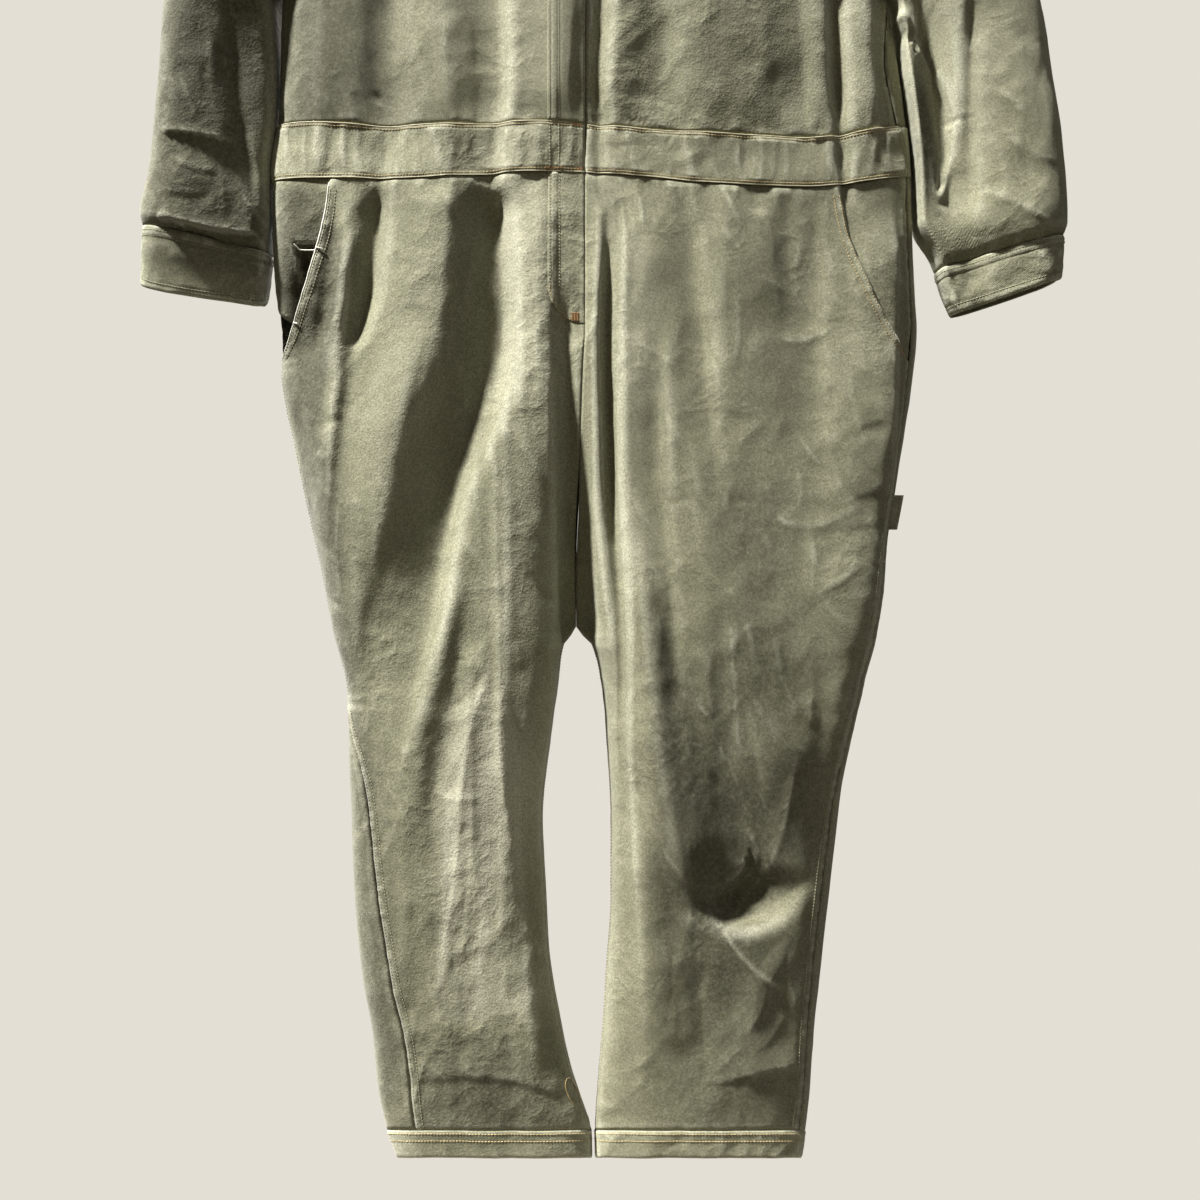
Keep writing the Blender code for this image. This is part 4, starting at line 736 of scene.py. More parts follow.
def body_section(side, drop):
    """One side of the body at a level, without its folds: points with how far each faces front or back
    as a fourth value, normals, arc length and the side seam's place."""
    name = side_name(side)
    out = float(column(BODY, name, drop))
    inn = float(column(INSIDE, name, drop))
    inner_half = abs(inn - out) / 2

    def quarter_turns(face_name, face):
        turn = radians(float(column(INSIDE, f"{face_name}_turn", drop)))
        depth = float(column(BODY, face_name, drop))
        theta = np.linspace(0.0, turn, DENSE)
        centre = inn + side * inner_half * abs(cos(turn)) ** ROUND_INSIDE
        outside = theta < pi / 2
        reach = np.where(outside, abs(out - centre), inner_half)
        power = np.where(outside, ROUND, ROUND_INSIDE)
        x = centre + side * np.sign(np.cos(theta)) * reach * np.abs(np.cos(theta)) ** power
        y = face * depth * np.abs(np.sin(theta)) ** power
        if face == FRONT:
            inward = np.where(outside, 0.0, np.abs(np.cos(theta)))
            off_seam = ease((np.abs(y) - abs(y[-1])) / SLOT_TURN) * inward
            x = x + side * float(column(INSIDE, f"{name}_slot", drop)) * off_seam ** ROUND_INSIDE
        return np.stack([x, y, np.zeros(DENSE), face * np.abs(y) / depth, np.ones(DENSE)], axis=1)

    points = np.concatenate([quarter_turns("front", FRONT)[::-1], quarter_turns("back", BACK)[1:]])
    points[:, 2] = level_z(points[:, 0], drop)
    normal = side * outward(points)
    if drop < FLY_FOOT + 1:
        normal[0] = (0, FRONT, 0)
        normal[-1] = (0, BACK, 0)
    arc = arc_of(points)
    seam_in = float(column(SIDE_SEAM, name, drop))
    if seam_in < 0.5:
        return points, normal, arc, arc[DENSE - 1]
    return points, normal, arc, place_at(side, points, arc, out - side * seam_in)


def drape(base, normals):
    """The body's folds, creases and wrinkles added to base points. Each carries how far it faces
    front or back as its fourth value, and how much of the folds it takes as its fifth."""
    x, _, z, facing, keep = np.moveaxis(base, 2, 0)
    drop = WAIST_Z - z
    held = ease((drop + 40.0) / 40.0) * ease((78.0 - drop) / 28.0)
    share = ease(FRONT_SHARE * np.abs(facing)) * keep * (1 - 0.45 * held)
    free = (1 - held) * share
    x = x + 4.0 * cloud(x, z, 70, 130, 201) * free
    share = share * (1 + 0.16 * cloud(x, z, 64, 240, 202))
    front = ease(0.5 - 4.0 * facing)
    height = np.where(facing <= 0, line_height(FRONT_FOLDS, x, drop, False),
                      line_height(BACK_FOLDS, x, drop, False)) * share
    fine = ((line_height(FRONT_CREASES + SMALL_FRONT, x, drop, True) + wrinkles(x, z, 3)) * front
            + (line_height(BACK_CREASES + SMALL_BACK, x, drop, True) + wrinkles(x, z, 53)) * (1 - front))
    return base[..., :3] + normals * (height + fine * (0.35 + 0.65 * free))[..., None]


def body_patch(side, drops, read_places, times, lift, head_gap=HALF_GAP, foot_gap=0.0):
    """A patch of one side of the body. read_places gives the places along each level's section, lift
    the relief over its levels and places; the gaps part it from what it is sewn to."""
    rows, row_normals, row_places = [], [], []
    for drop in drops:
        points, normal, arc, seam = body_section(side, drop)
        places = read_places(drop, points, arc, seam)
        rows.append(read_at(arc, points, places))
        row_normals.append(unit(read_at(arc, normal, places)))
        row_places.append(places)
    levels = blend_rows(drops, times)
    places = blend_rows(row_places, times)
    normals = unit(blend_rows(row_normals, times))
    base = blend_rows(rows, times)
    points = drape(base, normals)
    hem = ease((levels - HEM_RISE_FROM) / (HEM - HEM_RISE_FROM) * 1.4)[:, None]
    points[..., 2] += HEM_RISE * hem * np.maximum(-base[..., 3], 0.0)
    points = points + normals * lift(levels[:, None], places)[..., None]
    edge = column(INSIDE, side_name(side), levels) + side * HALF_GAP
    closed = levels <= CROTCH
    points[closed, :, 0] = side * np.maximum(side * points[closed, :, 0], side * edge[closed, None])
    outwards = grid_normals(points, normals)
    points[0, :, 2] -= head_gap
    points[-1, :, 2] += foot_gap
    return Patch(points, outwards, places, levels)


# ---------------------------------------------------------------- meshes
def sheet_mesh(name, patch, finish, thickness=SHELL, closed=False):
    """A shell of cloth on a patch's points: faces outwards, with its own flat coordinates in metres."""
    points = patch.points
    rows, columns = points.shape[:2]
    corner = np.arange(rows * columns).reshape(rows, columns)
    if closed:
        corner = np.concatenate([corner, corner[:, :1]], axis=1)
    a, b = corner[:-1, :-1].ravel(), corner[:-1, 1:].ravel()
    c, d = corner[1:, 1:].ravel(), corner[1:, :-1].ravel()
    middle = points.reshape(-1, 3)
    face_way = np.cross(middle[c] - middle[a], middle[d] - middle[b])
    if (face_way * patch.normals.reshape(-1, 3)[a]).sum() < 0:
        a, b, c, d = a, d, c, b
    faces = np.stack([a, b, c, d], axis=1)
    mesh = bpy.data.meshes.new(name)
    mesh.vertices.add(len(middle))
    mesh.vertices.foreach_set("co", (middle * MM).astype(np.float32).ravel())
    mesh.loops.add(faces.size)
    mesh.loops.foreach_set("vertex_index", faces.ravel().astype(np.int32))
    mesh.polygons.add(len(faces))
    mesh.polygons.foreach_set("loop_start", np.arange(0, faces.size, 4, dtype=np.int32))
    mesh.update(calc_edges=True)
    across = np.hypot.reduce(np.diff(points, axis=1, prepend=points[:, :1]), axis=2).cumsum(axis=1)
    down = np.hypot.reduce(np.diff(points, axis=0, prepend=points[:1]), axis=2).cumsum(axis=0)
    flat = np.stack([across, -down], axis=2).reshape(-1, 2) * MM
    layer = mesh.uv_layers.new(name="cut")
    layer.data.foreach_set("uv", flat[faces.ravel()].astype(np.float32).ravel())
    # each point keeps how far it stands out as a crest, for rubbed wear, and its painted highlights and shade
    # with uneven fading
    for wear_and_painted_light, values in (("crest", crests(patch, closed)), ("fade_and_painted_light", fading_and_painted_light(points))):
        worn = mesh.attributes.new(wear_and_painted_light, "FLOAT", "POINT")
        worn.data.foreach_set("value", values.astype(np.float32).ravel())
    mesh.shade_smooth()
    mesh.validate()
    shell = bpy.data.objects.new(name, mesh)
    bpy.context.scene.collection.objects.link(shell)
    mesh.materials.append(finish)
    thick = shell.modifiers.new("thickness", "SOLIDIFY")
    thick.thickness = thickness * MM
    thick.offset = -1.0
    return shell


def fading_and_painted_light(points):
    """How pale or dark each point's cloth is painted, from -1 to 1: uneven fading in clouds, with painted
    highlights and painted shade on the front and painted shade over the left sleeve.
    """
    x, y, z = np.moveaxis(points, 2, 0)
    front = ease(0.7 - y / 24.0)
    drop = WAIST_Z - z
    fade_and_painted_light = line_height(FRONT_PAINTED_LIGHT_AND_SHADE, x, drop, False) * front + 0.3 * cloud(x, z, 90, 150, 7)
    # painted shade over the left sleeve
    sleeve = ease((-x - 330.0) / 20.0) * ease((150.0 - drop) / 30.0)
    return np.clip(fade_and_painted_light - 0.95 * sleeve, -1.0, 1.0)


def crests(patch, closed):
    """How far each point stands out of its neighbours, from -1 in a crease to 1 on a crest."""
    points, normals = patch.points, patch.normals
    reach = 2
    padded = np.pad(points, ((reach, reach), (0, 0), (0, 0)), mode="edge")
    mode = "wrap" if closed else "edge"
    padded = np.pad(padded, ((0, 0), (reach, reach), (0, 0)), mode=mode)
    rows, columns = points.shape[:2]
    around = (padded[:rows, reach:-reach] + padded[2 * reach:, reach:-reach]
              + padded[reach:-reach, :columns] + padded[reach:-reach, 2 * reach:]) / 4
    spacing = np.mean([np.linalg.norm(np.diff(points, axis=k), axis=2).mean() for k in (0, 1)])
    return np.clip(((points - around) * normals).sum(axis=2) / 0.9 * (3.0 / spacing) ** 2, -1.0, 1.0)


# ---------------------------------------------------------------- relief beside seams and edges
def seam_relief(away, levels, seed, lap=8.0):
    """Relief beside a sewn seam: turned in at the seam, raised over its folded allowance and puckered."""
    raised = 0.5 * ease((lap - away) / 1.5)
    puckers = 0.55 * cloud(away, levels + 0.0 * away, 13.0, 5.0, seed) * bell(away, 9.0)
    return raised + puckers - 1.3 * bell(away, 1.7)


def gathered(away, places, seed):
    """Small gathers that run down from the waistband's seam and die away."""
    small = 0.7 * cloud(places, away, 6.0, 30.0, seed) * bell(away, 14.0)
    long = 1.2 * cloud(places, away, 15.0, 60.0, seed + 1) * bell(away, 34.0)
    return (small + long) * ease(away / 7.0) - 0.5 * bell(away, 1.6)


def place_at(side, points, arc, x):
    """The place along a section, on the front's outer half, that lies at x."""
    half = slice(DENSE // 2, DENSE)
    return float(np.interp(side * float(x), side * points[half, 0], arc[half]))


# ---------------------------------------------------------------- trousers and waistband
def drops_between(first, last, step):
    return np.linspace(first, last, int(round((last - first) / step)) + 1)


LEG_DROPS = drops_between(WAISTBAND, HEM_BAND_TOP, LEVEL_STEP)
BAND_DROPS = drops_between(0.0, WAISTBAND, 7.0)


def front_edge(side, drop, points, arc, seam):
    """Where a front ends: at the side seam, or above the pocket's foot at its slanted edge."""
    if drop >= POCKET_FOOT:
        return seam
    return min(place_at(side, points, arc, column(POCKET, side_name(side), drop)), seam)


def leg_front(side):
    def read_places(drop, points, arc, seam):
        begin = HALF_GAP if drop > CROTCH else 0.0
        return np.linspace(begin, front_edge(side, drop, points, arc, seam) - HALF_GAP, FRONT_COLUMNS)

    def lift(levels, places):
        away = places[:, -1:] - places
        gape = (POCKET_GAPE[side] * ease((levels - GAPE_TOP) / GAPE_RISE)
                * ease((POCKET_FOOT - levels) / GAPE_FALL))
        height = gape * bell(away, GAPE_REACH) + seam_relief(away, levels, 5 + side)
        clear = ease((places - PLACKET - 2.0) / 9.0) if side == LEFT else 1.0
        height = height + gathered(levels - WAISTBAND, places, 60 + side) * clear
        height = height - 0.9 * bell(HEM_BAND_TOP - levels, 2.0)
        inseam = seam_relief(places, levels, 9 + side, lap=13.0) * ease((levels - CROTCH) / 20.0)
        return height + inseam

    return body_patch(side, LEG_DROPS, read_places, 3, lift, foot_gap=HALF_GAP)


def leg_back(side):
    def read_places(drop, points, arc, seam):
        return np.linspace(seam + HALF_GAP, arc[-1] - (HALF_GAP if drop > CROTCH else 0.0),
                           LEG_BACK_COLUMNS)

    def lift(levels, places):
        height = seam_relief(places - places[:, :1], levels, 15 + side)
        return height + gathered(levels - WAISTBAND, places, 70 + side)

    return body_patch(side, LEG_DROPS, read_places, 2, lift, foot_gap=HALF_GAP)


def pocket_facing(side):
    def read_places(drop, points, arc, seam):
        edge = front_edge(side, drop, points, arc, seam)
        return np.linspace(edge - FACING_LAP, seam - HALF_GAP, STRIP_COLUMNS)

    def lift(levels, places):
        edge = places[:, :1] + FACING_LAP
        seam = places[:, -1:]
        at_foot = ease((levels - (POCKET_FOOT - 60.0)) / 30.0)
        deep = FACING_TOP + (FACING_SINK[side] - FACING_TOP) * ease((levels - WAISTBAND) / 76.0)
        if side == LEFT:
            # the facing's own edge, with the pocket's hollow beyond it
            reach = 4.0 + 30.0 * (1 - np.clip((levels - 111.0) / 70.0, 0.0, 1.0))
            deep = deep + 9.0 * ease((levels - 110.0) / 4.0) * ease((reach - places + edge) / 2.5)
            deep = deep + 16.0 * np.clip((levels - 112.0) / 46.0, 0.0, 1.0)
        sunk = deep * np.maximum(ease((seam - places) / np.maximum(seam - edge, 1.0)), at_foot)
        return seam_relief(seam - places, levels, 25 + side) - sunk

    return body_patch(side, drops_between(WAISTBAND, POCKET_FOOT - 6, LEVEL_STEP), read_places, 3, lift)


def fly_width(drop):
    from_foot = np.clip((drop - (FLY_FOOT - FLY_CURVE)) / FLY_CURVE, 0.0, 1.0)
    return np.maximum(PLACKET * (1 - from_foot ** 2) ** 0.5, 6.0)


def placket_relief(places):
    """The covered placket's relief: its lapping edge turns in, and a tuck stands between its stitches."""
    tuck = 0.4 * ease((places - 27.0) / 1.5) * ease((34.0 - places) / 1.5)
    edge = -1.0 * bell(places, 1.6)
    first_row, second_row = PLACKET_ROWS
    sewn = -0.35 * bell(places - first_row, 1.2) - 0.35 * bell(places - second_row, 1.2)
    return tuck + edge + sewn


def fly_placket():
    def read_places(drop, points, arc, seam):
        return np.linspace(0.0, float(fly_width(drop)), STRIP_COLUMNS)

    def lift(levels, places):
        from_edge = places[:, -1:] - places
        proud = LIE_GAP + 0.6 * ease(from_edge / 3.0)
        return proud + placket_relief(places) + 0.3 * cloud(places, levels, 30, 9, 33)

    drops = np.concatenate([drops_between(WAISTBAND, FLY_FOOT - FLY_CURVE, LEVEL_STEP),
                            FLY_FOOT - FLY_CURVE + FLY_CURVE * np.sin(np.linspace(0.12, pi / 2, 9))])
    return body_patch(LEFT, drops, read_places, 3, lift)


def band_relief(levels, places, seed):
    """A waistband's relief: turned in at its seams, a sewn valley inside each edge, and small wrinkles."""
    low = WAISTBAND - levels
    edges = -0.8 * (bell(levels, 1.0) + bell(low, 1.0))
    valleys = -0.4 * (bell(levels - 3.4, 1.1) + bell(low - 3.4, 1.1))
    tucks = 1.0 * cloud(places, levels, 15.0, 60.0, seed) + 0.5 * cloud(places, levels, 7.0, 26.0, seed + 1)
    lean = places + 0.8 * levels
    tucks = (tucks + 0.7 * cloud(lean, levels, 30.0, 22.0, seed + 2)
             + 0.25 * cloud(places, levels, 3.6, 12.0, seed + 3))
    return edges + valleys + 1.1 * tucks * ease(levels / 6.0) * ease(low / 6.0)


def waistband_front(side):
    def read_places(drop, points, arc, seam):
        return np.linspace(0.0, seam - HALF_GAP, BAND_COLUMNS[FRONT])

    def lift(levels, places):
        proud = BAND_PROUD
        if side == LEFT:
            proud = BAND_PROUD + (LAP_PROUD - BAND_PROUD) * ease((2 * PLACKET - places) / 12.0)
        closure = -0.8 * bell(places, 1.8)
        return proud + closure + band_relief(levels, places, 80 + side)

    return body_patch(side, BAND_DROPS, read_places, 5, lift, foot_gap=HALF_GAP)


def waistband_back():
    halves = []
    for side in (LEFT, RIGHT):
        def read_places(drop, points, arc, seam):
            return np.linspace(seam + HALF_GAP, arc[-1], BAND_COLUMNS[BACK])

        def lift(levels, places, seed=90 + side):
            return BAND_PROUD + band_relief(levels, places, seed) * ease((places[:, -1:] - places) / 20.0)

        halves.append(body_patch(side, BAND_DROPS, read_places, 3, lift, foot_gap=HALF_GAP))
    left, right = halves
    run = right.places[:, -1:] - right.places[:, ::-1] + left.places[:, -1:]
    return Patch(np.concatenate([left.points, right.points[:, -2::-1]], axis=1),
                 np.concatenate([left.normals, right.normals[:, -2::-1]], axis=1),
                 np.concatenate([left.places, run[:, 1:]], axis=1), left.levels)


def hem_band(side):
    def read_places(drop, points, arc, seam):
        return np.concatenate([np.linspace(0.0, seam, 90)[:-1], np.linspace(seam, arc[-1], 61)[:-1]])

    def lift(levels, places):
        into, out_of = levels - HEM_BAND_TOP, HEM - levels
        edges = -0.9 * bell(into, 1.4) - 1.0 * bell(out_of, 1.6)
        rope = 0.25 * cloud(places + levels, 0.0 * levels + places * 0.0, 9.0, 9.0, 44 + side)
        return 1.0 + edges + rope * ease(into / 6.0)

    return body_patch(side, drops_between(HEM_BAND_TOP, HEM, 7.25), read_places, 4, lift, HALF_GAP + 0.2)


# ---------------------------------------------------------------- bodice
def neck_point(side, face, across):
    """The top edge of a bodice panel at a share of the way from the closure to the shoulder's tip."""
    x = CLOSURE_X + (side * SHOULDER_TIP[0] - CLOSURE_X) * across
    reach, fall = FRONT_NECK if face == FRONT else BACK_NECK
    half = side * NECK_HALF - CLOSURE_X
    share = np.clip((x - CLOSURE_X) / half, 0.0, 1.0)
    open_share = np.sqrt(1 - share ** 2)
    slope = (SHOULDER_TIP[1] - SHOULDER_TOP_Z) / (SHOULDER_TIP[0] - NECK_HALF)
    z = SHOULDER_TOP_Z + slope * np.maximum(np.abs(x) - NECK_HALF, 0.0) - fall * open_share ** NECK_DROP
    return z, reach * open_share ** NECK_SPREAD


def bodice_levels():
    """Rows from the waist to the underarm, by share of the side seam, then by angle round the armhole."""
    low = [("side", t) for t in np.linspace(0, 1, 19)[:-1]]
    return low + [("armhole", a) for a in np.linspace(pi, 0, 27)]


def armhole(side):
    """Centre, half height and axis of the armhole, a flat oval from the underarm to the shoulder's tip."""
    ring = SLEEVES[side][0]
    tip = np.array([ring.outer_x, 0.0, ring.outer_z])
    pit = np.array([ring.inner_x, 0.0, ring.inner_z])
    half = (tip - pit) / 2
    axis = np.cross(half, (0.0, 1.0, 0.0))
    return (tip + pit) / 2, half, axis * side * np.sign(axis[0]) / np.linalg.norm(axis)


def bodice_section(side, face, level):
    """One panel's dense section at a level, from the middle to its outer edge, and how far the side
    seam lies in front of the outline there."""
    kind, value = level
    centre, half, axis = armhole(side)
    name = side_name(side)
    edge_low = float(waist_z("top", column(BODY, name, 0.0)))
    edge_y = 0.0
    if kind == "side":
        edge_z = edge_low + value * ((centre - half)[2] - edge_low)
        edge_x = float(column(BODY, name, WAIST_Z - edge_z))
        seam_in = float(column(SIDE_SEAM, name, WAIST_Z - edge_z)) * ease((1 - value) / 0.8)
    else:
        edge = centre + half * cos(value) - axis * HALF_GAP
        edge_x, edge_z = edge[0], edge[2]
        edge_y = ARMHOLE_DEPTH * sin(value) ** SLEEVE_OVAL
        seam_in = 0.0
    up = 1.0 if kind == "armhole" and value == 0 else (edge_z - edge_low) / (SHOULDER_TIP[1] - edge_low)
    phi = np.linspace(0.0, pi / 2, DENSE)
    across = np.sin(phi) ** ROUND
    x = CLOSURE_X + (edge_x - CLOSURE_X) * across
    low_z = waist_z("top", CLOSURE_X + (float(column(BODY, name, 0.0)) - CLOSURE_X) * across)
    top_z, neck_y = neck_point(side, face, across)
    z = low_z + up * (top_z - low_z)
    below = np.clip((top_z - z) / SHOULDER_ROLL, 0.0, 1.0)
    depth = column(BODY, "front" if face == FRONT else "back", WAIST_Z - z)
    flatness = np.cos(phi) ** ROUND
    middle_y = neck_y + (depth - neck_y) * np.sqrt(1 - (1 - below) ** 2)
    y = edge_y + (middle_y - edge_y) * flatness
    share = ease((1 - up) / 0.3) * np.ones(DENSE)
    return np.stack([x, face * y, z, face * flatness, share], axis=1), seam_in


def seamed_section(side, face, level):
    """A bodice section up to the side seam. Where the seam shows in front of the outline, the front
    stops short of it and the back wraps round to meet it."""
    points, seam_in = bodice_section(side, face, level)
    if seam_in < 0.5:
        return points
    front, _ = bodice_section(side, FRONT, level)
    stop = int(np.argmin(np.abs(front[DENSE // 2:, 0] - (points[-1, 0] - side * seam_in)))) + DENSE // 2
    if face == FRONT:
        return points[:stop + 1]
    return np.concatenate([points, front[stop:-1][::-1]])


def bodice_rows(side, face, count, corner, strip=None):
    """Rows of a bodice panel from the waist up; strip limits them to a width from the closure."""
    levels = bodice_levels()
    shoulder = seamed_section(side, face, levels[-1])
    top_arc = arc_of(shoulder)
    neck_arc = float(np.interp(NECK_HALF, side * shoulder[:, 0], top_arc))
    rows, normals, all_places = [], [], []
    for kind, value in levels:
        points = seamed_section(side, face, (kind, value))
        arc = arc_of(points)
        if strip:
            places = np.linspace(0.0, strip, count)
        else:
            share = 0.0 if kind == "side" else ((1 + cos(value)) / 2) ** 1.5
            high = np.concatenate([np.linspace(0.0, neck_arc, corner + 1)[:-1],
                                   np.linspace(neck_arc, top_arc[-1], count - corner)])
            end = arc[-1] - HALF_GAP
            places = np.linspace(0.0, end, count) * (1 - share) + high * (end / top_arc[-1]) * share
        rows.append(read_at(arc, points, places))
        normals.append(unit(read_at(arc, -side * face * outward(points), places)))
        all_places.append(places)
    return np.array(rows), np.array(normals), np.array(all_places)


def bodice_patch(side, face, count, corner, times, lift, strip=None):
    rows, normals, places = bodice_rows(side, face, count, corner, strip)
    rows, places = blend_rows(rows, times), blend_rows(places, times)
    normals = unit(blend_rows(normals, times))
    if not strip:
        top = rows[-1]
        top[corner] = (side * NECK_HALF, 0.0, SHOULDER_TOP_Z, top[corner, 3], 0.0)
        top[corner:, 1] = face * HALF_GAP
    points = drape(rows, normals)
    if face == FRONT:
        points[:, 0, 0] = CLOSURE_X + side * HALF_GAP
    rough = np.tile((0.0, face, 0.0), (*points.shape[:2], 1)) + 0.6 * normals
    rough[-6:, :, 2] += 0.9
    outwards = grid_normals(points, rough)
    run = np.arange(len(points))[:, None] * 9.0 / times
    points = points + outwards * lift(run, places)[..., None]
    return Patch(points, outwards, places, np.arange(len(points), dtype=float))


def bodice_front(side):
    def lift(run, places):
        away = places[:, -1:] - places
        return seam_relief(away, run, 40 + side) + gathered(run, places, 42 + side)

    return bodice_patch(side, FRONT, FRONT_COLUMNS, FRONT_CORNER, 3, lift)


def bodice_placket():
    def lift(run, places):
        return CLOTH + LIE_GAP + placket_relief(places) - 0.5 * bell(run, 2.0)

    return bodice_patch(LEFT, FRONT, STRIP_COLUMNS, 0, 3, lift, strip=PLACKET)


def bodice_back():
    halves = []
    for side in (LEFT, RIGHT):
        def lift(run, places, seed=46 + side):
            away = places[:, -1:] - places
            return seam_relief(away, run, seed) + gathered(run, places, seed + 3) * ease(places / 30.0)

        halves.append(bodice_patch(side, BACK, HALF_BACK_COLUMNS, BACK_CORNER, 2, lift))
    left, right = halves
    run = left.places[:, ::-1] * -1.0
    points = np.concatenate([left.points[:, ::-1], right.points[:, 1:]], axis=1)
    middle = left.points.shape[1] - 1
    points[:, middle] = (left.points[:, 0] + right.points[:, 0]) / 2
    points[:, middle, 0] = CLOSURE_X
    normals = np.concatenate([left.normals[:, ::-1], right.normals[:, 1:]], axis=1)
    return Patch(points, normals, np.concatenate([run, right.places[:, 1:]], axis=1), left.levels), halves


# ---------------------------------------------------------------- sleeves
def sleeve_patch(side, cuff):
    """A sleeve down to its cuff, or the cuff below it: rings of points, closed all round."""
    rings = SLEEVES[side]
    first, last, step = (CUFF_FIRST, len(rings) - 1, CUFF_STEP) if cuff else (0, CUFF_FIRST, SLEEVE_STEP)
    edges = np.array([(r.outer_x, 0.0, r.outer_z, r.inner_x, 0.0, r.inner_z, r.depth) for r in rings], float)
    middle = (edges[:, :3] + edges[:, 3:6]) / 2
    along = arc_of(middle[:, [0, 2, 1]])
    at = np.linspace(along[first], along[last], int((along[last] - along[first]) / step) + 1)
    read = np.stack([glide(along, edges[:, k], at) for k in range(7)], axis=1)
    centre, half = (read[:, :3] + read[:, 3:6]) / 2, (read[:, :3] - read[:, 3:6]) / 2
    turn = np.linspace(0, 2 * pi, SLEEVE_COLUMNS, endpoint=False)
    share = (at / along[CUFF_FIRST])[:, None]
    swell = np.zeros((len(at), len(turn)))
    for fold in SLEEVE_FOLDS[side]:
        round_by = (np.degrees(turn) - fold.round + 180) % 360 - 180
        swell += fold.height * np.exp(-((share - fold.along) / fold.reach_along) ** 2
                                      - (round_by / fold.reach_round) ** 2)
    swell *= ease(share / 0.12)
    wave = np.abs(np.sin(turn)) ** (SLEEVE_OVAL - 0.25 * ease(share / 0.2))
    points = centre[:, None] + np.cos(turn)[None, :, None] * half[:, None]
    depth = read[:, 6:] * wave + swell * np.minimum(wave * 2.4, 1.0)
    points[..., 1] = -depth * np.sign(np.sin(turn).round(6))
    outwards = grid_normals(points, points - centre[:, None], closed=True)
    x, z = points[..., 0], points[..., 2]
    drop = WAIST_Z - z
    front = ease(0.5 + 2.0 * np.sin(turn))
    girth = np.degrees(turn) * 1.6
    fine = (line_height(SLEEVE_CREASES[side] + SMALL_SLEEVE[side], x, drop, True) * front
            + 0.3 * wrinkles(girth + 0.0 * at[:, None], -at[:, None] + 0.0 * girth, 110 + side))
    fine = fine + 0.5 * cloud(girth + 0.7 * at[:, None], at[:, None] - 0.4 * girth, 34.0, 90.0, 160 + side)
    seam = np.abs(turn - pi) * np.mean(read[:, 6])
    fine = fine + 0.5 * seam_relief(seam + 0.0 * at[:, None], at[:, None], 130 + side)
    into, out_of = at[:, None] - at[0], at[-1] - at[:, None]
    if cuff:
        first_row, second_row = CUFF_ROWS[side][:2]
        rows = sum(bell(into - row, 1.1) for row in CUFF_ROWS[side])
        welt = 0.7 * ease((into - first_row) / 1.5) * ease((second_row - into) / 1.5)
        fine = (0.2 * fine + welt + BAND_PROUD - 1.0 * bell(into, 1.4)
                - 1.2 * bell(out_of, 1.8) - 0.6 * rows
                + 0.7 * cloud(girth - 0.8 * into, at[:, None], 30.0, 13.0, 140 + side)
                + 0.35 * cloud(girth + 0.6 * into, at[:, None], 13.0, 8.0, 144 + side))
    else:
        fine = (fine * ease(into / 12.0) - 1.2 * bell(into, 2.0) - 1.0 * bell(out_of, 2.0)
                + 0.5 * cloud(girth, out_of, 11.0, 40.0, 150 + side) * bell(out_of, 12.0))
    points = points + outwards * fine[..., None]
    if cuff:
        # the cuff's end lies flatter, and its front hangs a little lower
        share = ease(into / (at[-1] - at[0]))
        points[..., 1] *= 1 - CUFF_FLAT[side] * share
        points[..., 2] += CUFF_TILT[side] * share * np.minimum(points[..., 1], 0.0)
    outwards = grid_normals(points, outwards, closed=True)
    return Patch(points, outwards, np.tile(np.degrees(turn), (len(at), 1)), at - at[0])


# ---------------------------------------------------------------- collar
def lie_on(patches, places, towards, lift):
    """Places moved along a direction until they lie a lift above the patches."""
    spots, faces = [], []
    for patch in patches:
        grid = patch.points[::3, ::3]
        rows, columns = grid.shape[:2]
        base = len(spots)
        spots.extend(Vector(point) for point in grid.reshape(-1, 3))
        for r in range(rows - 1):
            for c in range(columns - 1):
                corner = base + r * columns + c
                faces.append((corner, corner + 1, corner + columns + 1, corner + columns))
    tree = BVHTree.FromPolygons(spots, faces)
    lain = []
    for place, way, height in zip(places, towards, lift[:, 0]):
        way = Vector(way).normalized()
        hit = tree.ray_cast(Vector(place) - way * 150.0, way)[0]
        lain.append(np.array((hit if hit else Vector(place)) - way * height))
    return np.array(lain)


def curved_rows(knots, steps):
    """Rows blended smoothly through a few rows of points."""
    knots = np.asarray(knots, float)
    at = np.linspace(0, len(knots) - 1, steps)
    flat = knots.reshape(len(knots), -1)
    read = np.stack([glide(np.arange(len(knots)), flat[:, k], at) for k in range(flat.shape[1])], axis=1)
    return read.reshape(steps, *knots.shape[1:])


